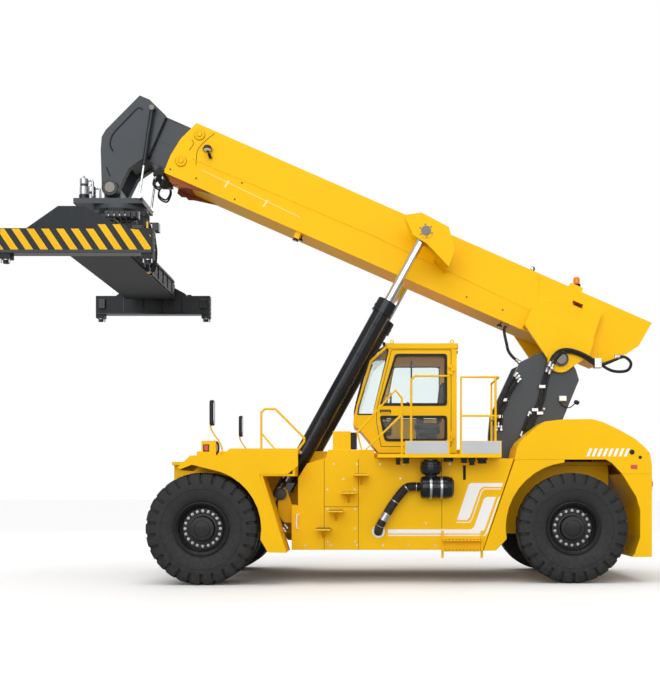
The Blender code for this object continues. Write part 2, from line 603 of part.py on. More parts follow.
def cab_outline(inset):
    """The cab's side view, drawn in by the given amount."""
    c, i = CAB_REAR_X, inset
    return [(c - 1.40 + i * 0.4, CAB_BOTTOM + i), (c - i, CAB_BOTTOM + i), (c - i, CAB_TOP - i),
            (c - 1.24 + i * 0.6, CAB_TOP - i), (c - 1.56 + i, 3.92 - i * 0.3), (c - 1.80 + i, 3.11),
            (c - 1.85 + i, 2.88), (c - 1.86 + i, 2.76 + i * 0.3), (c - 1.74 + i * 0.6, 2.68 + i)]


def door_outline(inset):
    c, i = CAB_REAR_X, inset
    return [(c - 1.36 + i, CAB_BOTTOM + 0.11 + i), (c - 0.10 - i, CAB_BOTTOM + 0.11 + i),
            (c - 0.10 - i, CAB_TOP - 0.10 - i), (c - 1.17 + i, CAB_TOP - 0.10 - i),
            (c - 1.44 + i, 3.02), (c - 1.44 + i, 2.80)]


def cab():
    c = CAB_REAR_X
    inner = CAB_HALF - CAB_WALL
    shell = slab(cab_outline(0), -CAB_HALF, CAB_HALF)
    shell = cut(shell, slab(cab_outline(CAB_WALL), -inner, inner))
    doorway = slab(door_outline(0), -CAB_HALF - 0.1, -inner + 0.01)
    side_window = slab([(c - 1.30, 2.95), (c - 0.20, 2.95), (c - 0.20, CAB_TOP - 0.22), (c - 1.10, CAB_TOP - 0.22)],
                       inner - 0.02, CAB_HALF + 0.1)
    rear_half = inner - 0.12
    rear_window = box((c - 0.1, c + 0.1), (-rear_half, rear_half), (3.05, CAB_TOP - 0.22))
    front_window = slab([(c - 1.95, 3.00), (c - 1.60, 3.00), (c - 1.10, 4.05), (c - 1.55, 4.05), (c - 1.90, 3.50)],
                        0.06 - inner, inner - 0.06)
    shell = cut(shell, doorway, side_window, rear_window, front_window)
    hinge_x, hinge_y = c - 0.10 + 0.008, -CAB_HALF - 0.026
    pin = 0.012
    heights = (2.55, 3.75)
    lugs = [box((hinge_x - 0.006, hinge_x + 0.05), (hinge_y - 0.02, -CAB_HALF + 0.02), (z - 0.03, z + 0.03))
            for z in heights]
    eyes = [rod((hinge_x, hinge_y, z - 0.03), (hinge_x, hinge_y, z + 0.03), 0.022, 12) for z in heights]
    shell = union(shell, *lugs, *eyes)
    holes = [bore((hinge_x, hinge_y, z - 0.1), (hinge_x, hinge_y, z + 0.1), pin, 12) for z in heights]
    finish("cab_shell", cut(shell, *holes), YELLOW)

    door = slab(door_outline(RUN), -CAB_HALF, -inner)
    upper = slab([(c - 1.36, 3.13), (c - 0.20, 3.13), (c - 0.20, CAB_TOP - 0.20), (c - 1.09, CAB_TOP - 0.20)],
                 -1, 0)
    lower = slab([(c - 1.27, 2.49), (c - 0.20, 2.49), (c - 0.20, 2.90), (c - 1.36, 2.90)], -1, 0)
    door = cut(door, upper, lower)
    knuckles = []
    for z in heights:
        for low, high in ((z - 0.09, z - 0.032), (z + 0.032, z + 0.09)):
            knuckles.append(box((hinge_x - 0.07, hinge_x - 0.02), (hinge_y - 0.014, -CAB_HALF + 0.01), (low, high)))
            knuckles.append(box((hinge_x - 0.03, hinge_x), (hinge_y - 0.013, -CAB_HALF - 0.003), (low, high)))
            knuckles.append(rod((hinge_x, hinge_y, low), (hinge_x, hinge_y, high), 0.020, 12))
        knuckles.append(rod((hinge_x, hinge_y, z - 0.09), (hinge_x, hinge_y, z + 0.09), pin, 12))
    handle = box((c - 1.36, c - 1.20), (-CAB_HALF - 0.03, -CAB_HALF + 0.01), (2.97, 3.01))
    hinge = (hinge_x, hinge_y, CAB_BOTTOM)
    finish("cab_door", union(door, handle, *knuckles), YELLOW, hinge)

    def pane(name, outline, low, high, origin=(0, 0, 0)):
        finish(name, slab(outline, low, high), GLASS, origin)

    g = GAP
    mid = -CAB_HALF + CAB_WALL / 2
    pane("door_glass_upper", [(c - 1.359 + g, 3.13 + g), (c - 0.20 - g, 3.13 + g), (c - 0.20 - g, CAB_TOP - 0.20 - g),
                              (c - 1.089 + g, CAB_TOP - 0.20 - g)], mid - 0.003, mid + 0.003, hinge)
    pane("door_glass_lower", [(c - 1.269 + g, 2.49 + g), (c - 0.20 - g, 2.49 + g), (c - 0.20 - g, 2.90 - g),
                              (c - 1.358 + g, 2.90 - g)], mid - 0.003, mid + 0.003, hinge)
    pane("right_window", [(c - 1.299, 2.95 + g), (c - 0.20 - g, 2.95 + g), (c - 0.20 - g, CAB_TOP - 0.22 - g),
                          (c - 1.099, CAB_TOP - 0.22 - g)], -mid - 0.003, -mid + 0.003)
    finish("rear_window", box((c - 0.033, c - 0.027), (g - rear_half, rear_half - g), (3.05 + g, CAB_TOP - 0.22 - g)), GLASS)
    # The windscreen bears on the front posts from inside.
    outer_face, inner_face = cab_outline(CAB_WALL + g)[3:7], cab_outline(CAB_WALL + 0.008)[3:7]
    pane("windscreen", outer_face + inner_face[::-1], 0.04 - inner, inner - 0.04)


def cab_fittings():
    c = CAB_REAR_X
    floor = CAB_BOTTOM + CAB_WALL + GAP
    base = box((c - 0.66, c - 0.28), (-0.20, 0.20), (floor, 2.70))
    cushion = box((c - 0.75, c - 0.24), (-0.26, 0.26), (2.68, 2.84))
    back = slab([(c - 0.32, 2.80), (c - 0.20, 2.80), (c - 0.14, 3.62), (c - 0.23, 3.62)], -0.25, 0.25)
    finish("operator_seat", union(base, cushion, back), BLACK)
    column = slab([(c - 1.22, floor), (c - 1.08, floor), (c - 1.02, 3.04), (c - 1.10, 3.07)], -0.065, 0.065)
    wheel = turned([(0.165, -0.012), (0.19, -0.012), (0.19, 0.012), (0.165, 0.012)], (0, 0, 0), "Z", 16)
    spoke = box((-0.175, 0.175), (-0.018, 0.018), (-0.009, 0.009))
    hub = rod((0, 0, -0.075), (0, 0, 0.02), 0.043, 10)
    wheel = union(wheel, spoke, hub)
    wheel.data.transform(Matrix.Translation((c - 1.04, 0, 3.11)) @ Matrix.Rotation(math.radians(25), 4, "Y"))
    dash = box((c - 1.52, c - 1.12), (-0.45, 0.45), (2.62, 2.84))
    leg = box((c - 1.30, c - 1.20), (-0.30, 0.30), (floor, 2.70))
    finish("cab_console", union(dash, leg, column, wheel), BLACK)


# ---------------------------------------------------------------- boom

def boom():
    t = BOOM_WALL
    low, top = BOOM_LOW, BOOM_TOP
    outline = [(BOOM_FRONT, low), (BOOM_FRONT + 0.01, low + 0.34), (BOOM_FRONT - 0.04, low + 0.69),
               (BOOM_FRONT - 0.19, top), (BOOM_REAR, top), (BOOM_REAR + 0.05, low + 0.59),
               (BOOM_REAR + 0.22, low + 0.32), (-0.70, low)]
    body = boom_slab(outline, -BOOM_HALF, BOOM_HALF)
    body = cut(body, boom_box((BOOM_REAR - 1, BOOM_FRONT + 1), (low + t, top - t), (-BOOM_HALF + t, BOOM_HALF - t)))
    # Slide pads at the mouth carry the inner boom.
    reach = INNER_CLEARANCE - GAP
    mouth = (BOOM_FRONT - 0.45, BOOM_FRONT - 0.25)
    pads = [boom_box(mouth, (low + t - 0.01, low + t + reach), (-0.30, 0.30)),
            boom_box(mouth, (top - t - reach, top - t + 0.01), (-0.30, 0.30))]
    ear_in, ear_out = TOWER_OUTER + 0.02, TOWER_OUTER + 0.10
    swell = [(0.84, low + 0.04), (0.84, low + 0.40), (0.50, low + 0.72), (-0.35, low + 0.86), (-0.42, low + 0.04)]
    ear = [(0.85, low + 0.05), (0.85, low + 0.31), (-0.41, low + 0.31), (-0.45, low + 0.02),
           *arc((0, 0), 0.24, 200, 340, 7)]
    for s in (-1, 1):
        pads.append(boom_slab(swell, *sorted((s * (BOOM_HALF - t / 2), s * (ear_in + 0.02)))))
        pads.append(boom_slab(ear, *sorted((s * ear_in, s * ear_out))))
    # Brackets for the lift rods: two plates each side, held by a web behind and below the eye's path.
    plate_in, plate_out = LIFT_EYE_WIDTH / 2 + 0.02, LIFT_EYE_WIDTH / 2 + 0.06
    u, v = LIFT_TOP_U, LIFT_TOP_V
    cheek = [(u - 0.62, v - 0.42), (u - 0.10, v - 0.20), (u + 0.18, v - 0.16), (u + 0.46, v + 0.10),
             (u + 0.20, v + 0.26), (u - 0.34, v + 0.22), (u - 0.60, v - 0.10)]
    web = [(u - 0.60, v - 0.39), (u - 0.31, v - 0.27), (u - 0.26, v + 0.12), (u - 0.34, v + 0.20), (u - 0.58, v - 0.11)]
    for s in (-1, 1):
        for near, far in ((-plate_out, -plate_in), (plate_in, plate_out)):
            pads.append(boom_slab(cheek, *sorted((s * LIFT_Y + near, s * LIFT_Y + far))))
        pads.append(boom_slab(web, *sorted((s * (BOOM_HALF - t / 2), s * (LIFT_Y + plate_out)))))
    lamp_u = 5.25
    pads.append(boom_box((lamp_u, lamp_u + 0.10), (low - 0.12, low + 0.02), (-0.40, -0.28)))
    pads.append(boom_box((0.10, 0.35), (top - 0.01, top + 0.10), (-0.35, -0.15)))
    body = union(body, *pads)
    holes = [bore((PIVOT_X, s * 0.5, PIVOT_Z), (PIVOT_X, s * 1.0, PIVOT_Z), PIVOT_PIN, 20) for s in (-1, 1)]
    window = boom_box((-0.01, 0.19), (1.0, 1.13), (-1, 1))
    finish("boom_outer", cut(body, *holes, window), YELLOW, PIVOT)

    i_low, i_top = low + t + INNER_CLEARANCE, top - t - INNER_CLEARANCE
    i_half = BOOM_HALF - t - INNER_CLEARANCE
    i_front = BOOM_FRONT + 0.38
    inner = boom_box((1.10, i_front), (i_low, i_top), (-i_half, i_half))
    hollow = boom_box((1.0, i_front + 0.1), (i_low + t, i_top - t), (t - i_half, i_half - t))
    finish("boom_inner", cut(inner, hollow), GREY, PIVOT)
    head(i_low, i_top, i_front)


def head(i_low, i_top, i_front):
    """The bent nose on the inner boom, with the pin that carries the yoke."""
    x, z = HEAD_X, HEAD_Z
    pin_end = 0.155
    joint_top, joint_low = at(i_front + GAP, i_top), at(i_front + GAP, i_low + 0.10)
    outline = [joint_top, (x + 0.72, z + 1.615), (x + 0.54, z + 1.69), (x + 0.046, z + 1.19),
               (x - 0.083, z + 1.06), (x - 0.156, z + 0.93), (x - 0.174, z + 0.70),
               *arc((x, z), pin_end, 175, 355, 8), (x + 0.21, z + 0.10), (x + 0.34, z + 0.36), joint_low]
    cheeks = [slab(outline, *sorted((s * 0.27, s * 0.43))) for s in (-1, 1)]
    core = slab([joint_top, (x + 0.72, z + 1.60), (x + 0.54, z + 1.66), (x + 0.046, z + 1.17), (x - 0.04, z + 0.60),
                 (x + 0.34, z + 0.42), joint_low], -0.30, 0.30)
    pin = rod((x, -0.46, z), (x, 0.46, z), HEAD_PIN)
    top_x, top_z = x + 0.786, z + 1.42
    lugs = [rod((top_x, s * 0.25, top_z), (top_x, s * (DAMPER_Y + 0.06), top_z), 0.03, 12) for s in (-1, 1)]
    finish("boom_head", union(cheeks[0], cheeks[1], core, pin, *lugs), GREY, (x, 0, z))

    eye_x, eye_z = x + 0.55, z - 0.17
    way = Vector((eye_x - top_x, 0, eye_z - top_z))
    length = way.length
    way.normalize()
    y = -DAMPER_Y
    start = Vector((top_x, y, top_z))
    barrel_end = start + way * 1.05
    barrel = union(rod(start, barrel_end, DAMPER_BARREL, 12),
                   rod((top_x, y - 0.035, top_z), (top_x, y + 0.035, top_z), 0.06, 12))
    barrel = cut(barrel, bore(start + way * 0.30, barrel_end + way * 0.1, DAMPER_ROD, 12),
                 bore((top_x, y - 0.1, top_z), (top_x, y + 0.1, top_z), 0.03, 12))
    pair("damper_barrel", barrel, BLACK, (x, 0, z), True)
    end = start + way * length
    piece = union(rod(start + way * 0.66, end, DAMPER_ROD, 12),
                  rod((end.x, y - 0.03, end.z), (end.x, y + 0.03, end.z), 0.05, 12))
    pair("damper_rod", piece, CHROME, (end.x, 0, end.z), True)


def lift_cylinders():
    foot = Vector((LIFT_FOOT[0], -LIFT_Y, LIFT_FOOT[1]))
    top = Vector((LIFT_TOP[0], -LIFT_Y, LIFT_TOP[1]))
    way = (top - foot).normalized()
    half = LIFT_EYE_WIDTH / 2
    side = Vector((0, half, 0))
    barrel_end = foot + way * LIFT_BARREL_LENGTH
    barrel = rod(foot + way * 0.10, barrel_end, LIFT_BARREL_RADIUS, 20)
    collar = rod(foot + way * (LIFT_BARREL_LENGTH - 0.22), barrel_end + way * 0.002, LIFT_BARREL_RADIUS + 0.025, 20)
    eye = rod(foot - side, foot + side, LIFT_EYE_RADIUS, 20)
    trimmer = [box((foot.x - 0.5, foot.x + 0.5), sorted((-LIFT_Y + s * half, -LIFT_Y + s * 0.4)),
                   (foot.z - 0.3, foot.z + 0.20)) for s in (-1, 1)]
    barrel = union(barrel, collar, eye)
    retracted = LIFT_BARREL_LENGTH + 0.24 - LIFT_ROD_LENGTH
    barrel = cut(barrel, *trimmer, bore(foot + way * (retracted - 0.05), barrel_end + way * 0.1, LIFT_ROD_RADIUS),
                 bore(foot - side * 2, foot + side * 2, LIFT_PIN))
    pair("lift_barrel", barrel, BLACK, foot, True)
    eye = rod(top - side, top + side, LIFT_EYE_RADIUS, 20)
    piece = union(rod(top - way * LIFT_ROD_LENGTH, top, LIFT_ROD_RADIUS), eye)
    piece = cut(piece, rod(top - side * 2, top + side * 2, LIFT_PIN + 0.01, 12))
    pair("lift_rod", piece, CHROME, top, True)


# ---------------------------------------------------------------- spreader

def spreader():
    x, z = HEAD_X, HEAD_Z
    plate_top, plate_low = z - 0.19, z - 0.29
    lug = slab([(x - 0.15, plate_top - 0.02), (x + 0.15, plate_top - 0.02), *arc((x, z), 0.15, 0, 180, 8)],
               -0.27 + RUN, 0.27 - RUN)
    plate = box((SPREADER_X - 0.77, SPREADER_X + 0.50), (-0.45, 0.45), (plate_low, plate_top))
    motors = [rod((SPREADER_X - 0.62, s * 0.26, plate_top - 0.01), (SPREADER_X - 0.62, s * 0.26, plate_top + 0.40),
                  0.075, 12) for s in (-1, 1)]
    yoke = union(plate, lug, *motors)
    yoke = cut(yoke, bore((x, -1, z), (x, 1, z), HEAD_PIN))
    finish("rotator_yoke", yoke, GREY, (x, 0, z))

    ring_top = plate_low - GAP
    ring = rod((SPREADER_X, 0, ring_top), (SPREADER_X, 0, ring_top - 0.36), 0.50, 28)
    rest = FRAME_TUBE_TOP + GAP
    saddle = box((SPREADER_X - 0.48, SPREADER_X + 0.48), (-0.60, 0.60), (rest, rest + 0.10))
    stand = box((SPREADER_X - 0.40, SPREADER_X + 0.40), (-0.53, 0.53), (rest + 0.08, ring_top - 0.30))
    finish("rotator", union(stand, ring, saddle), GREY, (SPREADER_X, 0, ring_top))

    half = 0.51
    wall = 0.03
    frame = box((SPREADER_X - half, SPREADER_X + half), (-FRAME_TUBE_END, FRAME_TUBE_END),
                (FRAME_TUBE_LOW, FRAME_TUBE_TOP))
    inside = box((SPREADER_X - half + wall, SPREADER_X + half - wall), (-4, 4),
                 (FRAME_TUBE_LOW + wall, FRAME_TUBE_TOP - wall))
    finish("spreader_frame", cut(frame, inside), GREY, (SPREADER_X, 0, FRAME_TUBE_TOP))

    arm_low, arm_top = FRAME_TUBE_LOW + wall + GAP, FRAME_TUBE_TOP - wall - 0.01
    beam_y = CORNER_Y / 2
    for name, s, arm_x in (("spreader_beam_left", -1, (-0.47, -0.03)), ("spreader_beam_right", 1, (0.03, 0.47))):
        near, far = beam_y - BEAM_WIDTH / 2, beam_y + BEAM_WIDTH / 2
        beam = box((SPREADER_X - BEAM_LENGTH / 2, SPREADER_X + BEAM_LENGTH / 2), sorted((s * near, s * far)),
                   (BEAM_LOW, BEAM_TOP))
        arm = box((SPREADER_X + arm_x[0], SPREADER_X + arm_x[1]), sorted((s * (near + 0.02), -s * ARM_REACH_BACK)),
                  (arm_low, arm_top))
        gusset = slab([(SPREADER_X - 0.855, BEAM_TOP - 0.02), (SPREADER_X + 0.713, BEAM_TOP - 0.02),
                       (SPREADER_X + 0.68, BEAM_TOP + 0.06), (SPREADER_X + 0.11, BEAM_TOP + 0.37),
                       (SPREADER_X - 0.30, BEAM_TOP + 0.37)], *sorted((s * (beam_y - 0.03), s * (beam_y + 0.03))))
        parts = [arm, gusset]
        for corner in (-1, 1):
            cx = SPREADER_X + corner * CORNER_X / 2
            parts.append(box((cx - 0.09, cx + 0.09), sorted((s * near, s * far)), (LOCK_BOTTOM + 0.07, BEAM_LOW + 0.01)))
            parts.append(rod((cx, s * beam_y, LOCK_BOTTOM), (cx, s * beam_y, BEAM_LOW), 0.05, 12))
        finish(name, union(beam, *parts), YELLOW, (SPREADER_X, 0, BEAM_TOP))


def main():
    clear_scene()
    wheels()
    axles()
    chassis()
    front_fenders()
    side_boxes()
    rear_fenders()
    hood()
    tower()
    platforms()
    air_intake()
    mirrors()
    cab()
    cab_fittings()
    boom()
    lift_cylinders()
    spreader()


main()
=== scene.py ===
import bmesh
import bpy
import numpy as np
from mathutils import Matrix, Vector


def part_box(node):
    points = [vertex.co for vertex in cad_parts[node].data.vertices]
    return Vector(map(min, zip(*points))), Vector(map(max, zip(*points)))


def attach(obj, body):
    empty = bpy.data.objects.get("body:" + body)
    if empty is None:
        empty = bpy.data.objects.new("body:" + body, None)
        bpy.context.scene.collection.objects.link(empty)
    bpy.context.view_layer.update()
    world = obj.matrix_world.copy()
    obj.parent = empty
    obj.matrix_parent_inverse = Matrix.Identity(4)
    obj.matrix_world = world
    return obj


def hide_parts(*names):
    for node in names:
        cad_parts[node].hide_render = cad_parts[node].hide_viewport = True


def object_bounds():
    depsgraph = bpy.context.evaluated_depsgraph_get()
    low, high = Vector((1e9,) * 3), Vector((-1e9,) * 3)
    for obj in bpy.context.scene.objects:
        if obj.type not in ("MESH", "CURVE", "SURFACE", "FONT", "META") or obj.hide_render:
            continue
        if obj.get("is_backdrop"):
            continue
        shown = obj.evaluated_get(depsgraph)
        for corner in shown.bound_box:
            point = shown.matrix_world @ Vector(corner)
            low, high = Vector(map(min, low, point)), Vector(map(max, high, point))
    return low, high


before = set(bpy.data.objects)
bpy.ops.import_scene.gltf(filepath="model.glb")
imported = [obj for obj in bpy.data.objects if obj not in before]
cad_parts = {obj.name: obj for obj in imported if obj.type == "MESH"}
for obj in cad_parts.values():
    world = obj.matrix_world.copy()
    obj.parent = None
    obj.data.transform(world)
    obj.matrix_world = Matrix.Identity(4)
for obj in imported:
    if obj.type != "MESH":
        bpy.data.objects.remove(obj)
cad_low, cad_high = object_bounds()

# ------------------------------------------------------------------ camera, floor and light
# A pale studio: a plain floor, a broad light overhead, two behind the machine, two soft suns from above and
# from the left, and a white surround. The camera looks square on the left side from 1.6 m above the floor.

front_low, front_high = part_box("tyre_front_outer_left")
AXLE_X = (front_low.x + front_high.x) / 2
TYRE_RADIUS = (front_high.z - front_low.z) / 2
rear_low, rear_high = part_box("tyre_rear_left")
WHEELBASE = (rear_low.x + rear_high.x) / 2 - AXLE_X


def spot(x, y, z):
    """A point whose x is counted back from the front axle."""
    return np.array([AXLE_X + x, y, z])


def oblong(left, low, right, high):
    """The four corners of a rectangle, from its lower left one and anticlockwise."""
    return [(left, low), (right, low), (right, high), (left, high)]


def placed(name, data):
    """A new object in the scene that holds this data."""
    made = bpy.data.objects.new(name, data)
    bpy.context.scene.collection.objects.link(made)
    return made


camera_data = bpy.data.cameras.new("camera")
camera_data.lens = 55.59
camera_data.sensor_width = 36
camera_data.shift_x = -0.0612
camera_data.shift_y = 0.219
camera_data.clip_end = 200
camera = placed("camera", camera_data)
camera.location = spot(2.85, -19.58, 1.638)
camera.rotation_euler = (np.pi / 2, 0, 0)
bpy.context.scene.camera = camera

floor_mesh = bpy.data.meshes.new("floor")
floor_mesh.from_pydata([(x, y, -0.002) for x, y in oblong(-90, -60, 90, 120)], [], [(0, 1, 2, 3)])
floor = placed("floor", floor_mesh)
floor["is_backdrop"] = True


def wired(tree, kind, feeds={}, **properties):
    """A shader node with its properties set, each input given a constant or fed by another node's output."""
    made = tree.nodes.new("ShaderNode" + kind)
    for name, value in properties.items():
        setattr(made, name, value)
    for name, value in feeds.items():
        if isinstance(value, bpy.types.NodeSocket):
            tree.links.new(value, made.inputs[name])
        else:
            made.inputs[name].default_value = value
    return made


def material_of(name, constants):
    """A new material, its tree, and its Principled shader's inputs with these constants set on them."""
    material = bpy.data.materials.new(name)
    material.use_nodes = True
    shader = material.node_tree.nodes["Principled BSDF"].inputs
    for socket, value in constants.items():
        shader[socket].default_value = value
    return material, material.node_tree, shader


# The floor looks nearly white, but throws back less light, so that undersides stay dark.
floor_paint, tree, shader = material_of("floor", {"Roughness": 0.9})
returned = wired(tree, "Mix", {"Factor": wired(tree, "LightPath").outputs["Is Camera Ray"],
                               "A": (0.34, 0.34, 0.34, 1), "B": (0.88, 0.88, 0.88, 1)}, data_type="RGBA")
tree.links.new(returned.outputs["Result"], shader["Base Color"])
floor_mesh.materials.append(floor_paint)

for name, place, aim, size, power in (("overhead", (-3, -4, 17), (0, 0, 2), 11, 300),
                                      ("rear_fill", (14, -13, 7), (2, 0, 2), 9, 230),
                                      ("far_side", (-4, 16, 12), (0, 0, 3), 10, 420)):
    lamp = bpy.data.lights.new(name, "AREA")
    lamp.size = size
    lamp.energy = power
    holder = placed(name, lamp)
    holder.location = place
    way = np.array(aim, float) - np.array(place, float)
    turn = np.arctan2(way[1], way[0])
    fall = np.arctan2(np.hypot(way[0], way[1]), -way[2])
    holder.rotation_euler = (fall, 0, turn - np.pi / 2)

for name, energy, angle, turn in (("soft_sky", 1.6, 70, (4, -8, 0)), ("left_screen", 2.0, 60, (84, 0, -8))):
    sun = bpy.data.lights.new(name, "SUN")
    sun.energy = energy
    sun.angle = np.radians(angle)
    placed(name, sun).rotation_euler = np.radians(turn)

# The surround is white where it is seen, also through glass, and lights the machine at half that strength.
world = bpy.data.worlds.new("studio")
world.use_nodes = True
tree = world.node_tree
seen = wired(tree, "LightPath").outputs
clear = wired(tree, "Math", {0: seen["Is Camera Ray"], 1: seen["Is Transmission Ray"]}, operation="MAXIMUM")
strength = wired(tree, "MapRange", {"Value": clear.outputs[0], "To Min": 0.5, "To Max": 1.0})
background = tree.nodes["Background"].inputs
background["Color"].default_value = (1, 1, 1, 1)
tree.links.new(strength.outputs[0], background["Strength"])
bpy.context.scene.world = world
bpy.context.scene.view_settings.view_transform = "Standard"


# ------------------------------------------------------------------ welded body
# Chassis, fenders, side boxes, hood and counterweight are plate steel, welded and sprayed in one gloss
# yellow enamel. Handling leaves a faint mottle in the film and a little dust low down. Decals, bolts and
# lamps are fixed on it, and dark strips of painted shade lie over the seams.

def weathering():
    """Group: the paint's colour with a faint mottle, and dust that thins out with height. Where dust lies,
    the paint is rougher."""
    group = bpy.data.node_groups.new("weathering", "ShaderNodeTree")
    socket = group.interface.new_socket
    socket("Colour", in_out="INPUT", socket_type="NodeSocketColor")
    for name, value in (("Mottle", 0.06), ("Dust", 0.3), ("Dust height", 1.4), ("Gloss", 0.3),
                        ("Grain", 0.15)):
        socket(name, in_out="INPUT", socket_type="NodeSocketFloat").default_value = value
    for name, kind in (("Colour", "Color"), ("Roughness", "Float"), ("Normal", "Vector")):
        socket(name, in_out="OUTPUT", socket_type="NodeSocket" + kind)
    taken = group.nodes.new("NodeGroupInput").outputs
    given = group.nodes.new("NodeGroupOutput").inputs
    place = wired(group, "TexCoord").outputs["Object"]
    clouds, specks, film = (
        wired(group, "TexNoise", {"Scale": scale, "Detail": detail, "Vector": place}).outputs["Fac"]
        for scale, detail in ((1.3, 5), (14, 6), (120, 2)))
    height = wired(group, "SeparateXYZ", {0: place}).outputs["Z"]
    low = wired(group, "MapRange", {"Value": height, "From Max": taken["Dust height"], "To Min": 1,
                                    "To Max": 0.12})
    patches = wired(group, "MapRange", {"Value": specks, "From Min": 0.38, "From Max": 0.72})
    dust = wired(group, "Math", {0: low.outputs[0], 1: patches.outputs[0]}, operation="MULTIPLY")
    amount = wired(group, "Math", {0: dust.outputs[0], 1: taken["Dust"]}, operation="MULTIPLY").outputs[0]
    darkest = wired(group, "Math", {0: 1, 1: taken["Mottle"]}, operation="SUBTRACT").outputs[0]
    shade = wired(group, "MapRange", {"Value": clouds, "From Min": 0.3, "From Max": 0.7, "To Min": darkest})
    tone = wired(group, "HueSaturation", {"Value": shade.outputs[0], "Color": taken["Colour"]})
    dusty = wired(group, "Mix", {"Factor": amount, "A": tone.outputs["Color"], "B": (0.33, 0.27, 0.19, 1)},
                  data_type="RGBA")
    rough = wired(group, "Math", {0: amount, 1: 0.6, 2: taken["Gloss"]}, operation="MULTIPLY_ADD")
    bump = wired(group, "Bump", {"Distance": 0.002, "Strength": taken["Grain"], "Height": film})
    group.links.new(dusty.outputs["Result"], given["Colour"])
    group.links.new(rough.outputs[0], given["Roughness"])
    group.links.new(bump.outputs["Normal"], given["Normal"])
    return group


WEATHERING = weathering()


def finish_of(name, colour, gloss=0.3, mottle=0.06, dust=0.3, dust_height=1.4, grain=0.15, metallic=0.0,
              coat=0.0, shine=0.2):
    """A material seen through the weathering group. Its colour is one value, or a function that adds nodes
    to the material's tree and gives back the output that holds it."""
    material, tree, shader = material_of(name,
                                         {"Metallic": metallic, "Coat Weight": coat, "Coat Roughness": 0.08,
                                          "Specular IOR Level": shine})
    worn = wired(tree, "Group", {}, node_tree=WEATHERING)
    values = {"Gloss": gloss, "Mottle": mottle, "Dust": dust, "Dust height": dust_height, "Grain": grain}
    for socket, value in values.items():
        worn.inputs[socket].default_value = value
    if callable(colour):
        tree.links.new(colour(tree), worn.inputs["Colour"])
    else:
        worn.inputs["Colour"].default_value = (*colour, 1)
    for source, target in (("Colour", "Base Color"), ("Roughness", "Roughness"), ("Normal", "Normal")):
        tree.links.new(worn.outputs[source], shader[target])
    return material


YELLOW = (0.97, 0.545, 0.001)
GREY = (0.056, 0.064, 0.073)
yellow_enamel = finish_of("yellow_enamel", YELLOW, gloss=0.36, mottle=0.05, dust=0.05, grain=0.03, shine=0.1)


def rounded_faces():
    """Geometry group that shades every face smooth, so that the bevel's normals show."""
    group = bpy.data.node_groups.new("rounded_faces", "GeometryNodeTree")
    group.interface.new_socket("Geometry", in_out="INPUT", socket_type="NodeSocketGeometry")
    group.interface.new_socket("Geometry", in_out="OUTPUT", socket_type="NodeSocketGeometry")
    taken, given = group.nodes.new("NodeGroupInput"), group.nodes.new("NodeGroupOutput")
    smooth = group.nodes.new("GeometryNodeSetShadeSmooth")
    group.links.new(taken.outputs[0], smooth.inputs["Geometry"])
    group.links.new(smooth.outputs["Geometry"], given.inputs[0])
    return group


ROUNDED = rounded_faces()


def eased(piece, edge):
    """The eased edges of cut plate: points sewn, flat faces merged, sharp edges bevelled, and normals led by
    the big faces."""
    sew = piece.modifiers.new("sew", "WELD")
    sew.merge_threshold = 0.00005
    smooth = piece.modifiers.new("rounded_faces", "NODES")
    smooth.node_group = ROUNDED
    flat = piece.modifiers.new("flat", "DECIMATE")
    flat.decimate_type = "DISSOLVE"
    flat.angle_limit = np.radians(0.6)
    ease = piece.modifiers.new("ease", "BEVEL")
    ease.width = edge
    ease.segments = 2
    ease.limit_method = "ANGLE"
    ease.angle_limit = np.radians(32)
    ease.use_clamp_overlap = True
    level = piece.modifiers.new("level", "WEIGHTED_NORMAL")
    level.weight = 80
    level.keep_sharp = True


def plated(node, material, edge=0.006):
    """Gives a CAD node its finish and eased edges."""
    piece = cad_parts[node]
    piece.data.materials.clear()
    piece.data.materials.append(material)
    eased(piece, edge)


for node in ("chassis", "fender_front_left", "fender_front_right", "side_box_left", "side_box_right",
             "rear_fender_left", "rear_fender_right", "engine_hood", "counterweight"):
    plated(node, yellow_enamel)


def skin(rings, looped=False):
    """Quads between neighbouring rings of points. The two ends get a face each, or the last ring meets the
    first."""
    rings = np.asarray(rings, float)
    count, size = rings.shape[:2]
    i = np.arange(count if looped else count - 1)[:, None]
    j = np.arange(size)
    ahead, beside = (i + 1) % count, (j + 1) % size
    quads = np.stack([i * size + j, i * size + beside, ahead * size + beside, ahead * size + j], -1)
    faces = quads.reshape(-1, 4).tolist()
    if not looped:
        faces += [list(range(size)), list(range((count - 1) * size, count * size))]
    return rings.reshape(-1, 3), faces


def together(solids):
    """Several (points, faces) as one, each one's faces counted on from the points before it."""
    starts = np.cumsum([0] + [len(points) for points, _ in solids])
    points = np.concatenate([points for points, _ in solids])
    faces = [[start + corner for corner in face] for start, (_, made) in zip(starts, solids) for face in made]
    return points, faces


def mesh_of(name, solids):
    """The solids as one mesh, its faces turned outwards."""
    points, faces = together(solids)
    mesh = bpy.data.meshes.new(name)
    mesh.from_pydata(points.tolist(), [], faces)
    sewn = bmesh.new()
    sewn.from_mesh(mesh)
    bmesh.ops.recalc_face_normals(sewn, faces=sewn.faces)
    sewn.to_mesh(mesh)
    sewn.free()
    return mesh


def piece(name, solids, material, body, slot, crease=35):
    """One object from solids, smooth up to the crease angle, that rides on its body."""
    mesh = mesh_of(name, solids)
    mesh.shade_smooth()
    mesh.set_sharp_from_angle(angle=np.radians(crease))
    mesh.materials.append(material)
    made = placed(name, mesh)
    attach(made, body)
    return made


def side_of(sign, y):
    """Axes for a flat piece on the machine's side: its outline is (x, z) and its thickness grows outwards."""
    return np.array([AXLE_X, sign * y, 0]), np.array([[1, 0, 0], [0, 0, 1], [0, sign, 0]], float)


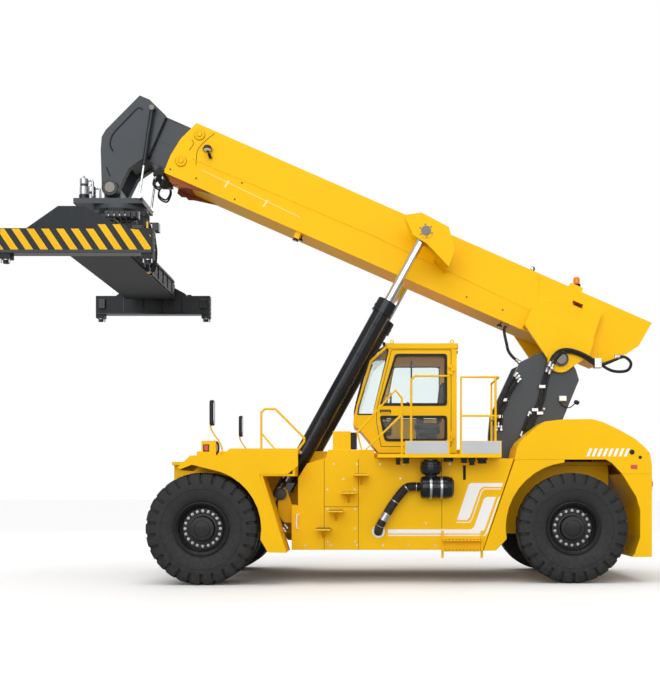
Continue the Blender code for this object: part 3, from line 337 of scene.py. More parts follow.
def flat_piece(outline, low, high, place, ease=0.0):
    """An outline carried from low to high. With an ease, the end rings are drawn in along each corner's
    bisector, by ease / (1 + cos of the corner's turn)."""
    origin, axes = place
    outline = np.array(outline, float)
    ahead, behind = np.roll(outline, -1, 0) - outline, outline - np.roll(outline, 1, 0)
    area = np.sum(outline[:, 0] * np.roll(outline[:, 1], -1) - np.roll(outline[:, 0], -1) * outline[:, 1])
    square = [np.stack([-w[:, 1], w[:, 0]], 1) / np.linalg.norm(w, axis=1)[:, None] for w in (ahead, behind)]
    inwards = (square[0] + square[1]) / (1 + np.sum(square[0] * square[1], 1))[:, None] * np.sign(area)
    levels = [(low, ease), (low + ease, 0), (high - ease, 0), (high, ease)] if ease else [(low, 0), (high, 0)]
    rings = []
    for level, draw in levels:
        flat = outline + inwards * draw
        rings.append(origin + flat[:, :1] * axes[0] + flat[:, 1:] * axes[1] + level * axes[2])
    return skin(rings)


ALONG_Y = np.array([AXLE_X, 0, 0]), np.array([[1, 0, 0], [0, 0, 1], [0, 1, 0]], float)


def block(low, high, ease=0.004):
    """A box with eased edges between two corners given from the front axle."""
    (x0, y0, z0), (x1, y1, z1) = low, high
    return flat_piece(oblong(x0, z0, x1, z1), min(y0, y1), max(y0, y1), ALONG_Y, ease)


def across(way):
    """The way at length one, and two unit vectors square on it and on each other, from cross products."""
    way = np.asarray(way, float) / np.linalg.norm(way)
    one = np.cross(way, np.eye(3)[np.argmin(np.abs(way))])
    one /= np.linalg.norm(one)
    return way, one, np.cross(way, one)


def turns(count):
    """The angles of that many equal steps round a circle."""
    return np.linspace(0, 2 * np.pi, count, endpoint=False)


def turned(profile, centre, way, steps=48, looped=False):
    """Each (radius, height) of the profile as a circle: centre + height * way + radius * (cos t, sin t)."""
    way, one, two = across(way)
    radius, height = np.array(profile, float).T
    t = turns(steps)
    circle = np.cos(t)[:, None] * one + np.sin(t)[:, None] * two
    rings = np.asarray(centre) + height[:, None, None] * way + radius[:, None, None] * circle
    return skin(rings, looped)


def swept(path, radius, sides=10):
    """A round bar along a path: place + radius * (cos t * one + sin t * two). Each section is square on the
    path, and its turn is carried on from the last one."""
    path = np.array(path, float)
    ways = np.gradient(path, axis=0)
    ways /= np.linalg.norm(ways, axis=1)[:, None]
    t = turns(sides)
    one = across(ways[0])[1]
    rings = []
    for place, way in zip(path, ways):
        one = one - way * (one @ way)
        one /= np.linalg.norm(one)
        rings.append(place + radius * (np.cos(t)[:, None] * one + np.sin(t)[:, None] * np.cross(way, one)))
    return skin(rings)


def through(points, steps=8):
    """A smooth line through points: between two of them, the cubic that follows their neighbours' slopes."""
    p = np.array(points, float)
    p = np.concatenate([[2 * p[0] - p[1]], p, [2 * p[-1] - p[-2]]])
    a, b, c, d = p[:-3, None], p[1:-2, None], p[2:-1, None], p[3:, None]
    t = np.linspace(0, 1, steps, endpoint=False)[None, :, None]
    line = 0.5 * (2 * b + (c - a) * t + (2 * a - 5 * b + 4 * c - d) * t ** 2 + (3 * b - a - 3 * c + d)
                  * t ** 3)
    return np.concatenate([line.reshape(-1, 3), p[-2:-1]])


def tube(points, radius, sides=10):
    """A bent tube along a smooth line through points, their x counted back from the front axle."""
    return swept(through([spot(*point) for point in points]), radius, sides)


def rod(points, radius, sides=10):
    """A tube with straight stretches between its points."""
    return swept([spot(*point) for point in points], radius, sides)


X, Y, Z = np.eye(3)
FACING_X = np.array([Y, Z, X])  # axes for a flat piece that looks backwards


def ring_at(centre, radius, count, one=X, two=Z):
    """Places at equal steps t round a circle: centre + radius * (cos t * one + sin t * two)."""
    t = turns(count)[:, None]
    return centre + radius * (np.cos(t) * one + np.sin(t) * two)


def hex_heads(places, way, radius=0.016, height=0.012):
    """A washer and a chamfered six-sided head at each place."""
    made = []
    for place in places:
        made.append(turned([(radius * 1.35, 0), (radius * 1.35, height * 0.2)], place, way, 12))
        made.append(turned([(radius, height * 0.2), (radius, height * 0.85), (radius * 0.8, height)], place,
                           way, 6))
    return made


zinc = finish_of("zinc", (0.55, 0.56, 0.57), gloss=0.3, mottle=0.2, dust=0.15, metallic=0.9)
white_paint = finish_of("white_paint", (0.94, 0.94, 0.93), gloss=0.35, mottle=0.02, dust=0.06, coat=0.1)
# seam_shadow is a darkened yellow: painted shade for dark lines and spots on the yellow plate.
seam_shadow = finish_of("seam_shadow", (0.09, 0.045, 0.004), gloss=0.6, mottle=0.1, dust=0.2)
BODY_Y = -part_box("rear_fender_left")[0].y
BOARD_Y = 2.04  # the light boxes' and toe boards' outer face

# The two swept bands and the lines beside them are cut from vinyl and lie on the left side box.
VINYL = 0.0015
vinyl = side_of(-1, BODY_Y)
swoosh = [(5.12, 1.715), (4.575, 1.715), (4.53, 1.69), (4.325, 1.077), (4.50, 1.077), (4.55, 1.13),
          (4.72, 1.60), (4.775, 1.65), (5.10, 1.65)]
swoosh_line = [(5.085, 1.622), (4.79, 1.622), (4.745, 1.58), (4.575, 1.09), (4.53, 1.045), (4.31, 1.045),
               (4.31, 1.03), (4.54, 1.03), (4.588, 1.08), (4.76, 1.572), (4.80, 1.606), (5.08, 1.606)]
band = [(5.00, 1.475), (4.84, 1.475), (4.79, 1.44), (4.625, 0.965), (4.57, 0.915), (3.135, 0.915),
        (3.135, 0.845), (4.74, 0.845), (4.80, 0.905)]
band_line = [(5.045, 1.475), (4.83, 0.87), (4.79, 0.822), (3.135, 0.822), (3.135, 0.802), (4.81, 0.802),
             (4.855, 0.855), (5.07, 1.475)]
piece("side_stripes", [flat_piece(o, 0.0, VINYL, vinyl) for o in (swoosh, swoosh_line, band, band_line)],
      white_paint, "machine", "yellow_paint")

# Hood bars: eight leaning white bars on each side of the hood.
bars = []
for sign in (-1, 1):
    for i in range(8):
        foot = 6.56 + 0.0925 * i
        bars.append(flat_piece([(foot, 2.175), (foot + 0.046, 2.175), (foot + 0.105, 2.312),
                                (foot + 0.058, 2.312)], 0.0, VINYL, side_of(sign, BODY_Y)))
piece("hood_bars", bars, white_paint, "machine", "yellow_paint")

# Panel seams: narrow dark strips over the joints between the tank and the lockers, painted shade in the
# joints.
seams = []
for sign in (-1, 1):
    face = side_of(sign, BODY_Y)
    for x in (2.03, 2.62, 4.06):
        seams.append(flat_piece(oblong(x, 0.57, x + 0.008, 2.13), 0, 0.0012, face))
    seams.append(flat_piece(oblong(2.03, 1.30, 2.62, 1.308), 0, 0.0012, face))
piece("panel_seams", seams, seam_shadow, "machine", "black_paint")

# Bolts along the panels' edges, M16 zinc plated heads on washers.
bolts = []
for sign in (-1, 1):
    places = [spot(x, sign * BODY_Y, z) for x in (2.09, 2.56) for z in (0.70, 0.93, 1.27, 1.60)]
    places += [spot(x, sign * BODY_Y, 2.04) for x in np.arange(2.2, 5.0, 0.4)]
    places += [spot(x, sign * BODY_Y, 0.64) for x in np.arange(1.7, 4.0, 0.45)]
    places += [spot(3.35, sign * BODY_Y, 1.79), spot(3.79, sign * BODY_Y, 1.02),
               spot(2.36, sign * BODY_Y, 1.78)]
    bolts += hex_heads(places, sign * Y, 0.011, 0.009)
piece("panel_bolts", bolts, zinc, "machine", "chrome")

# Locker handle: a recessed latch with a black grip, in front of the stripes.
grip = [flat_piece(oblong(4.43, 1.77, 4.48, 2.02), 0, 0.004, side_of(s, BODY_Y), 0.0015) for s in (-1, 1)]
grip += [tube([(4.455, s * BODY_Y, 1.80), (4.455, s * (BODY_Y + 0.03), 1.83),
               (4.455, s * (BODY_Y + 0.03), 1.96), (4.455, s * BODY_Y, 1.99)], 0.008) for s in (-1, 1)]
black_plastic = finish_of("black_plastic", (0.018, 0.018, 0.02), gloss=0.5, mottle=0.2, dust=0.25, grain=0.4)
piece("locker_handles", grip, black_plastic, "machine", "plastic")

# The black end box that stands above the lockers.
piece("locker_end", [block((2.49, -1.478, 2.30), (2.595, -1.312, 2.59), 0.01)], black_plastic, "machine",
      "black_paint")

# White grab handle by the cylinder's foot, a bent tube welded to the box at both ends.
handle = [tube([(1.60, -1.50, 0.93), (1.565, -1.55, 0.95), (1.565, -1.55, 1.15), (1.60, -1.50, 1.17)],
               0.012)]
piece("grab_handle", handle, white_paint, "machine", "yellow_paint")

# Headlights on the fenders: black bowls and ribbed lenses, with a red side marker and a guard tube.
lamp_glass, tree, lens = material_of("lamp_glass", {"Base Color": (0.85, 0.88, 0.9, 1), "Roughness": 0.08})
ribs = wired(tree, "TexWave", {"Scale": 30, "Vector": wired(tree, "TexCoord").outputs["Object"]})
raised = wired(tree, "Bump", {"Strength": 0.4, "Distance": 0.003, "Height": ribs.outputs["Fac"]})
tree.links.new(raised.outputs["Normal"], lens["Normal"])
red_lens = finish_of("red_lens", (0.6, 0.01, 0.008), gloss=0.12, mottle=0.1, dust=0.05, coat=0.5)
amber_lens = finish_of("amber_lens", (0.95, 0.22, 0.005), gloss=0.12, mottle=0.1, dust=0.05, coat=0.5)


def lamp_head(centre, way, radius):
    """A round lamp: the black shell as a turned bowl and the domed lens in front of it."""
    shell = turned([(radius * 0.3, -radius), (radius * 0.75, -radius * 0.8), (radius, -radius * 0.2),
                    (radius, 0.0), (radius * 0.9, 0.004), (radius * 0.88, -0.01)], centre, way, 28)
    glass = turned([(radius * 0.87, -0.012), (radius * 0.87, 0.0), (radius * 0.6, 0.008),
                    (radius * 0.2, 0.012)], centre, way, 28)
    return shell, glass


shells, glasses, markers = [], [], []
for sign in (-1, 1):
    for z in (2.235, 2.345):
        shell, glass = lamp_head(spot(-0.004, sign * 1.90, z), -X, 0.05)
        shells.append(shell)
        glasses.append(glass)
    shells.append(flat_piece(oblong(0.03, 2.24, 0.13, 2.36), 0, 0.008, side_of(sign, BOARD_Y), 0.003))
    markers.append(flat_piece(oblong(0.045, 2.255, 0.115, 2.345), 0.006, 0.014, side_of(sign, BOARD_Y),
                              0.003))
    shells.append(tube([(0.19, sign * 1.97, 2.17), (0.27, sign * 1.97, 2.24), (0.27, sign * 1.97, 2.37),
                        (0.20, sign * 1.97, 2.42)], 0.016))
piece("headlight_shells", shells, black_plastic, "machine", "plastic")
piece("headlight_lenses", glasses, lamp_glass, "machine", "glass")
piece("side_markers", markers, red_lens, "machine", "plastic")

# Fender edge: a rubber lip clipped round each front arch.
lips = []
for sign in (-1, 1):
    angle = np.radians(np.linspace(-8, 70, 24))
    lips.append(swept([spot(1.008 * np.cos(a), sign * 2.078, TYRE_RADIUS + 1.008 * np.sin(a))
                       for a in angle], 0.011, 8))
rubber = finish_of("rubber", (0.018, 0.018, 0.019), gloss=0.62, mottle=0.25, dust=0.5, grain=0.5)
piece("fender_lips", lips, rubber, "machine", "plastic")


# ------------------------------------------------------------------ tyres
# Cross-ply lug tyres, 26 blocks a side, moulded in carbon black rubber. The blocks' slots open at the
# shoulder, a half pitch apart on the two sides, and two raised rings run round each sidewall.

LUGS = 26
tyre_rubber = finish_of("tyre_rubber", (0.022, 0.023, 0.025), gloss=0.48, mottle=0.15, dust=0.07,
                        dust_height=1.9, grain=0.3)


def smooth_step(value, low, high):
    """0 below low, 1 above high, and 3t^2 - 2t^3 between."""
    t = np.clip((value - low) / (high - low), 0, 1)
    return t * t * (3 - 2 * t)


def tyre_skin(centre, wide, bead_radius):
    """The section from bead to bead, turned about y. Slots sink along the section's normal where the angle
    is within a slot's width of the pitch, on the shoulder and the outer two thirds of the tread."""
    half = np.array([(bead_radius, 0.76), (bead_radius + 0.02, 0.84), (0.50, 0.93), (0.56, 0.975),
                     (0.63, 0.995), (0.665, 1.0), (0.672, 1.02), (0.684, 1.02), (0.69, 1.0), (0.74, 1.0),
                     (0.76, 0.995), (0.79, 0.985), (0.82, 0.97), (0.85, 0.95), (0.875, 0.93), (0.90, 0.905),
                     (0.918, 0.88), (0.93, 0.845), (0.937, 0.80), (0.941, 0.72), (0.943, 0.60),
                     (0.944, 0.46), (0.944, 0.34), (0.944, 0.30), (0.944, 0.15)])
    section = np.concatenate([half * [1, -wide], [[0.944, 0.0]], half[::-1] * [1, wide]])
    slope = np.gradient(section, axis=0)
    normal = np.stack([slope[:, 1], -slope[:, 0]], 1)
    normal /= np.linalg.norm(normal, axis=1)[:, None]
    share = np.abs(section[:, 1]) / wide
    reach = smooth_step(section[:, 0], 0.755, 0.80) * smooth_step(share, 0.30, 0.36)
    pitch = np.array([-0.5, -0.41, -0.37, -0.25, -0.13, -0.09, 0, 0.09, 0.13, 0.25, 0.37, 0.41])
    within = np.tile(pitch, LUGS)
    turn = (np.repeat(np.arange(LUGS), len(pitch)) + within) * 2 * np.pi / LUGS
    near = 1 - smooth_step(np.abs(within), 0.09, 0.13)
    far = smooth_step(np.abs(within), 0.37, 0.41)
    mask = np.where(section[:, 1:] < 0, near[None], far[None]) * reach[:, None]
    sunk = section[:, None, :] - 0.034 * mask[..., None] * normal[:, None, :]
    radius, y = sunk[..., 0], sunk[..., 1]
    rings = np.stack([centre[0] + radius * np.sin(turn), centre[1] + y, centre[2] - radius * np.cos(turn)],
                     -1)
    inner = rings[[-1, 0]].copy()
    inner[..., 1] = centre[1] + (inner[..., 1] - centre[1]) * 0.9
    return skin(np.concatenate([rings, inner]), looped=True)


for place, body in (("front_outer_left", "front_wheels_left"), ("front_inner_left", "front_wheels_left"),
                    ("front_outer_right", "front_wheels_right"), ("front_inner_right", "front_wheels_right"),
                    ("rear_left", "rear_wheel_left"), ("rear_right", "rear_wheel_right")):
    node = "tyre_" + place
    low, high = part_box(node)
    middle = (np.array(low) + np.array(high)) / 2
    middle[2] = TYRE_RADIUS
    made = piece(node + "_rubber", [tyre_skin(middle, (high.y - low.y) / 2, 0.431)], tyre_rubber, body,
                 "tyre", 28)
    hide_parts(node)


# ------------------------------------------------------------------ wheels
# Five-piece earthmover rims, painted black: a dished disc, the lock ring and its gap, and a ring of
# zinc plated nuts on studs. The hub cap of each wheel stands out of the disc on its own small bolts.

wheel_black = finish_of("wheel_black", (0.011, 0.011, 0.012), gloss=0.35, mottle=0.2, dust=0.06, coat=0.15)
rim_parts = (("wheel_front_left", "front_wheels_left", -1), ("wheel_front_right", "front_wheels_right", 1),
             ("wheel_rear_left", "rear_wheel_left", -1), ("wheel_rear_right", "rear_wheel_right", 1))
for node, body, sign in rim_parts:
    plated(node, wheel_black, 0.003)
    low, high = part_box(node)
    hub = np.array([(low.x + high.x) / 2, low.y if sign < 0 else high.y, TYRE_RADIUS])
    out = sign * Y
    disc = hub - out * 0.16
    flange = [(0.43, -0.012), (0.447, -0.008), (0.452, 0.004), (0.446, 0.010), (0.434, 0.010)]
    lock_ring = [(0.402, -0.035), (0.418, -0.012), (0.424, -0.010), (0.43, -0.018), (0.415, -0.03)]
    gutter = [(0.352, -0.10), (0.366, -0.086), (0.372, -0.09), (0.364, -0.106)]
    hub_cap = [(0.205, 0.072), (0.198, 0.082), (0.14, 0.084), (0.13, 0.092), (0.05, 0.094)]
    nut_land = [(0.255, 0.0), (0.25, 0.012), (0.215, 0.014), (0.21, 0.002)]
    rings = [turned(profile, hub, out, 96, True) for profile in (flange, lock_ring, gutter)]
    rings += [turned(hub_cap, disc, out, 64), turned(nut_land, disc, out, 64, True)]
    piece(node + "_rings", rings, wheel_black, body, "black_paint")
    count = 20 if "front" in node else 18
    nuts = []
    for place in ring_at(disc, 0.298, count, Z, X):
        nuts.append(turned([(0.024, 0.0), (0.024, 0.004)], place, out, 14))
        nuts.append(turned([(0.019, 0.004), (0.019, 0.020), (0.015, 0.024)], place, out, 6))
        nuts.append(turned([(0.010, 0.024), (0.010, 0.034), (0.007, 0.037)], place, out, 10))
    nuts += hex_heads(ring_at(disc + out * 0.07, 0.165, count // 2, Z, X), out, 0.009, 0.012)
    piece(node + "_nuts", nuts, zinc, body, "chrome")
    valve = disc + 0.33 * np.array([0.7, 0, 0.7])
    piece(node + "_valve",
          [swept(through([valve, valve + out * 0.02, valve + out * 0.035 + [0.02, 0, 0.02]]), 0.005, 8)],
          zinc, body, "chrome")


# ------------------------------------------------------------------ axles, knuckles and engine
# Cast steel axle housings bolted under the frame, forged knuckles, and the engine's cast block under the
# hood. All are sprayed in dark grey before they are fitted, with zinc plated bolts round the hub flanges.

grey_enamel = finish_of("grey_enamel", GREY, gloss=0.36, mottle=0.12, dust=0.12, coat=0.05)
for node in ("front_axle", "steer_axle", "steering_knuckle_left", "steering_knuckle_right", "engine_block"):
    plated(node, grey_enamel)
flange_bolts = []
for x, y in ((0, 0.60), (WHEELBASE, 0.70)):
    for sign in (-1, 1):
        flange_bolts += hex_heads(ring_at(spot(x, sign * y, TYRE_RADIUS), 0.27, 12), sign * Y, 0.014, 0.02)
piece("axle_bolts", flange_bolts, zinc, "machine", "chrome")


# ------------------------------------------------------------------ air cleaner and intake pipe
# A pressed steel can in black enamel with rolled beads, held by two straps. A pre-cleaner bowl stands on it,
# and a rubber elbow with worm-drive clamps carries the air down to the engine's side.

black_enamel = finish_of("black_enamel", (0.010, 0.012, 0.016), gloss=0.24, mottle=0.2, dust=0.05, coat=0.3)
CAN = spot(3.68, -1.77, 1.638)
can_profile = [(0.05, 0.0), (0.150, 0.0), (0.172, 0.010), (0.186, 0.028), (0.190, 0.05), (0.190, 0.115),
               (0.196, 0.12), (0.196, 0.135), (0.190, 0.14), (0.190, 0.25), (0.1945, 0.255),
               (0.1945, 0.265), (0.190, 0.27), (0.190, 0.40), (0.196, 0.405), (0.196, 0.43), (0.190, 0.435),
               (0.186, 0.49), (0.178, 0.50), (0.174, 0.54), (0.14, 0.555), (0.135, 0.565), (0.05, 0.57)]
BOWL = spot(3.86, -1.77, 1.81)
bowl_profile = [(0.07, 0.0), (0.10, 0.0), (0.105, 0.04), (0.150, 0.055), (0.172, 0.08), (0.178, 0.10),
                (0.178, 0.15), (0.170, 0.155), (0.170, 0.165), (0.178, 0.17), (0.178, 0.21), (0.170, 0.215),
                (0.170, 0.225), (0.178, 0.23), (0.176, 0.25), (0.150, 0.275), (0.12, 0.28), (0.12, 0.305),
                (0.05, 0.308)]
cleaner = [turned(can_profile, CAN, X, 72), turned(bowl_profile, BOWL, Z, 72)]
for foot in ring_at(BOWL, 0.176, 24, X, Y):
    cleaner.append(swept([foot + [0, 0, 0.105], foot + [0, 0, 0.205]], 0.004, 6))
for x in (0.10, 0.42):
    cleaner.append(block((3.68 + x, -1.77, 1.60), (3.73 + x, -BODY_Y - 0.001, 1.70)))
made = piece("air_cleaner_can", cleaner, black_enamel, "machine", "black_paint")
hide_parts("air_cleaner")
straps = [turned(oblong(0.191, x, 0.199, x + 0.04), CAN, X, 72, True) for x in (0.155, 0.335)]
latches = [block((3.68 + x, -1.985, 1.62), (3.72 + x, -1.955, 1.66), 0.003) for x in (0.155, 0.335)]
piece("air_cleaner_straps", straps + latches, zinc, "machine", "chrome")
pipe_line = through([spot(*p) for p in ((3.679, -1.66, 1.65), (3.50, -1.66, 1.65), (3.39, -1.66, 1.58),
                                        (3.22, -1.66, 1.36), (3.06, -1.66, 1.10), (2.99, -1.64, 0.97),
                                        (2.97, -1.60, 0.90), (2.97, -1.56, 0.88), (2.97, -1.501, 0.88))], 6)
made = piece("intake_hose", [swept(pipe_line, 0.0745, 28)], rubber, "machine", "plastic")
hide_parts("intake_pipe")
clamps = []
for i, wide in ((2, 0.006), (9, 0.006), (17, 0.006), (29, 0.006), (23, 0.07)):
    way = pipe_line[i + 1] - pipe_line[i]
    clamps.append(turned(oblong(0.073, -wide, 0.079, wide), pipe_line[i], way, 40, True))
clamps.append(turned(oblong(0.05, 0.0, 0.11, 0.014), spot(2.97, -1.501, 0.88), -Y, 40, True))
clamps += hex_heads([spot(2.97 + x, -1.515, 0.88 + z) for x, z in oblong(-0.063, -0.063, 0.063, 0.063)],
                    -Y, 0.010, 0.010)
piece("intake_clamps", clamps, zinc, "machine", "chrome")


# ------------------------------------------------------------------ platforms, steps and rails
# Bent tube rails and folded plate, welded and sprayed yellow. The treads are pressed steel with raised
# lozenges, laid on the plate, and the toe boards have a bare primer grey outside.

for node in ("platform_left", "platform_right"):
    plated(node, yellow_enamel, 0.003)
tread_steel = finish_of("tread_steel", (0.10, 0.105, 0.11), gloss=0.5, mottle=0.2, dust=0.5, dust_height=3,
                        metallic=0.4)
primer = finish_of("primer", (0.55, 0.57, 0.58), gloss=0.5, mottle=0.08, dust=0.15)
LEVEL = np.array([AXLE_X, 0, 0]), np.eye(3)
treads = []
DECK = 2.20
for low, high in (((3.02, -2.00), (4.98, -0.90)), ((3.02, 0.90), (4.98, 2.00))):
    treads.append(flat_piece(oblong(*low, *high), DECK, DECK + 0.003, LEVEL))
    for i, x in enumerate(np.arange(low[0] + 0.05, high[0] - 0.03, 0.07)):
        for j, y in enumerate(np.arange(low[1] + 0.04, high[1] - 0.02, 0.07)):
            a, b = (0.024, 0.007) if (i + j) % 2 else (0.007, 0.024)
            treads.append(flat_piece([(x - a, y), (x, y - b), (x + a, y), (x, y + b)], DECK + 0.002,
                                     DECK + 0.005, LEVEL))
for i in range(4):
    x, z = 2.67 - 0.215 * i, 0.94 + 0.308 * (3 - i)
    treads.append(block((x - 0.12, -1.97, z), (x + 0.12, -1.51, z + 0.004), 0.001))
    for y in np.arange(-1.94, -1.52, 0.05):
        treads.append(block((x - 0.11, y, z + 0.002), (x + 0.11, y + 0.012, z + 0.009), 0.001))
for z in (0.56, 0.74):
    for x in np.arange(4.12, 4.74, 0.06):
        treads.append(block((x, -1.655, z - 0.001), (x + 0.02, -1.51, z + 0.005), 0.001))
piece("treads", treads, tread_steel, "machine", "grey_paint")
boards = [flat_piece(oblong(x0, DECK + 0.005, x1, 2.412), 0.0, 0.002, side_of(s, BOARD_Y))
          for x0, x1 in ((3.425, 4.135), (4.365, 5.015)) for s in (-1, 1)]
piece("toe_board_faces", boards, primer, "machine", "grey_paint")
mounts = []
for x0, x1, y, z in ((3.26, 3.34, -1.99, 2.03), (3.38, 3.49, -1.97, 2.05), (4.36, 4.47, -1.99, 2.06),
                     (4.50, 4.60, -1.96, 2.02), (4.64, 4.80, -1.99, 2.05), (4.06, 4.24, -1.98, 2.08)):
    middle = (x0 + x1) / 2
    profile = [((x1 - x0) / 2 * k, h) for k, h in ((0.3, 0), (0.9, 0.005), (1, 0.02), (0.82, 0.05),
                                                   (1, 0.08))]
    mounts.append(turned(profile, spot(middle, y + 0.10, z - 0.01), Z, 24))
    mounts.append(block((x0, y, z + 0.05), (x1, y + 0.20, 2.139), 0.004))
piece("platform_mounts", mounts, rubber, "machine", "plastic")


# ------------------------------------------------------------------ cab
# A welded frame of pressed sections in yellow enamel, with tinted panes glued into black rubber. The roof
# has a folded rain band and lifting eyes, and the door hangs at its rear edge on two knuckles.

plated("cab_door", yellow_enamel, 0.004)
CAB_Y = 0.80
CAB_FLOOR = 2.321
quarter = [(2.605, 2.95), (2.625, 3.09), (2.862, 3.885), (3.125, 4.130), (3.150, 4.085), (2.895, 3.06),
           (2.885, 2.95)]


def opened(node, cutters, name, material, body):
    """A node's mesh with its points merged and the cutters taken out of it, as a new piece."""
    cutter = placed(name + "_cutter", mesh_of(name + "_cutter", cutters))
    made = placed(name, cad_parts[node].data.copy())
    sew = made.modifiers.new("sew", "WELD")
    sew.merge_threshold = 0.00005
    cut = made.modifiers.new("cut", "BOOLEAN")
    cut.object = cutter
    cut.solver = "EXACT"
    graph = bpy.context.evaluated_depsgraph_get()
    result = bpy.data.meshes.new_from_object(made.evaluated_get(graph))
    made.modifiers.clear()
    made.data = result
    bpy.data.objects.remove(cutter)
    made.data.materials.clear()
    made.data.materials.append(material)
    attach(made, body)
    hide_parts(node)
    return made


cab_body = opened("cab_shell",
                  [flat_piece(quarter, low, high, ALONG_Y) for low, high in ((-0.86, -0.66), (0.66, 0.86))],
                  "cab_body", yellow_enamel, "machine")
eased(cab_body, 0.006)
cab_glass = material_of("cab_glass", {"Base Color": (0.90, 0.96, 0.95, 1), "Roughness": 0.03, "IOR": 1.12,
                                      "Transmission Weight": 0.96})[0]
for node in ("windscreen", "right_window", "rear_window", "door_glass_upper", "door_glass_lower"):
    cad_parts[node].data.materials.clear()
    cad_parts[node].data.materials.append(cab_glass)


def softened(outline, radius, steps=5):
    """The outline with each corner rounded by the curve (1 - t)^2 a + 2 t (1 - t) corner + t^2 b, whose ends
    a and b lie a radius from the corner."""
    outline = np.array(outline, float)
    made = []
    for before, corner, after in zip(np.roll(outline, 1, 0), outline, np.roll(outline, -1, 0)):
        a = corner + (before - corner) / np.linalg.norm(before - corner) * radius
        b = corner + (after - corner) / np.linalg.norm(after - corner) * radius
        for t in np.linspace(0, 1, steps):
            made.append((1 - t) ** 2 * a + 2 * t * (1 - t) * corner + t ** 2 * b)
    return np.array(made)


def surround(outline, grow, draw, low, high, place, radius=0.06):
    """A flat ring about an outline: outwards by grow, inwards by draw, from low to high."""
    origin, axes = place
    outline = np.array(outline, float)
    middle = (outline.min(0) + outline.max(0)) / 2
    size = (outline.max(0) - outline.min(0)) / 2
    outer = softened(middle + (outline - middle) * (1 + grow / size), radius)
    inner = softened(middle + (outline - middle) * (1 - draw / size), radius * 0.8)
    rings = []
    for flat_ring, level in ((outer, low), (outer, high), (inner, high), (inner, low)):
        rings.append(origin + flat_ring[:, :1] * axes[0] + flat_ring[:, 1:] * axes[1] + level * axes[2])
    return skin(rings, looped=True)


upper_pane = [(3.02, 3.13), (4.18, 3.13), (4.18, 4.01), (3.29, 4.01)]
lower_pane = [(3.11, 2.49), (4.18, 2.49), (4.18, 2.90), (3.02, 2.90)]
right_pane = [(3.08, 2.95), (4.18, 2.95), (4.18, 3.99), (3.28, 3.99)]
door_edge = [(3.02, 2.37), (4.28, 2.37), (4.28, 4.11), (3.21, 4.11), (2.94, 3.02), (2.94, 2.80)]
door_face = side_of(-1, CAB_Y)
seals = [surround(upper_pane, 0.028, 0.022, -0.012, 0.007, door_face),
         surround(lower_pane, 0.028, 0.022, -0.012, 0.007, door_face)]
seals.append(surround(door_edge, 0.003, 0.007, -0.003, 0.002, door_face, 0.04))
piece("door_seals", seals, rubber, "door", "plastic")
back = spot(4.38, 0, 0), FACING_X
shell_seals = [surround(right_pane, 0.028, 0.022, -0.012, 0.007, side_of(1, CAB_Y)),
               surround(oblong(-0.62, 3.05, 0.62, 3.99), 0.03, 0.02, -0.012, 0.007, back)]
screen_line = [(2.565, 2.90), (2.575, 3.11), (2.815, 3.92), (3.135, 4.205)]
for sign in (-1, 1):
    edge = through([spot(x - 0.004, sign * 0.71, z) for x, z in screen_line], 6)
    shell_seals.append(swept(edge, 0.020, 8))
for x, z in (screen_line[0], (2.832, 3.935), screen_line[-1]):
    shell_seals.append(swept([spot(x - 0.004, y, z) for y in (-0.71, 0, 0.71)], 0.018, 8))
quarter_panes = []
for sign in (-1, 1):
    wall = side_of(sign, CAB_Y)
    shell_seals.append(surround(quarter, 0.012, 0.012, -0.02, 0.006, wall, 0.02))
    quarter_panes.append(flat_piece(quarter, -0.016, -0.010, wall))
piece("window_seals", shell_seals, rubber, "machine", "plastic")
piece("quarter_windows", quarter_panes, cab_glass, "machine", "glass")

# Door handle and catch, in black moulded plastic, with a pull bar inside the lower window.
handles = [surround(oblong(3.00, 2.975, 3.20, 3.035), 0.0, 0.012, 0.0, 0.012, door_face, 0.025)]
handles.append(tube([(3.02, -0.80, 3.005), (3.04, -0.835, 3.005), (3.16, -0.835, 3.005),
                     (3.18, -0.80, 3.005)], 0.010))
handles.append(tube([(3.06, -0.75, 2.93), (3.07, -0.70, 2.96), (3.55, -0.70, 2.96), (3.56, -0.75, 2.93)],
                    0.011))
piece("door_handle", handles, black_plastic, "door", "plastic")

# Rain band round the roof, and four lifting eyes on turned feet.
roof = [surround(oblong(3.12, -CAB_Y, 4.385, CAB_Y), 0.022, 0.02, 4.135, 4.222, LEVEL, 0.05)]


def ring_of(centre, way, radius, thick, steps=36, sides=10):
    """A torus: the circle (radius + thick * cos a, thick * sin a) turned about the way."""
    a = turns(sides)
    profile = np.stack([radius + thick * np.cos(a), thick * np.sin(a)], 1)
    return turned(profile, centre, way, steps, True)


for x in (3.22, 4.30):
    for y in (-0.72, 0.72):
        roof.append(ring_of(spot(x, y, 4.262), Y, 0.028, 0.010, 24, 8))
        roof.append(turned([(0.022, 0.0), (0.022, 0.025), (0.014, 0.03)], spot(x, y, 4.21), Z, 16))
piece("cab_roof_band", roof, yellow_enamel, "machine", "yellow_paint")

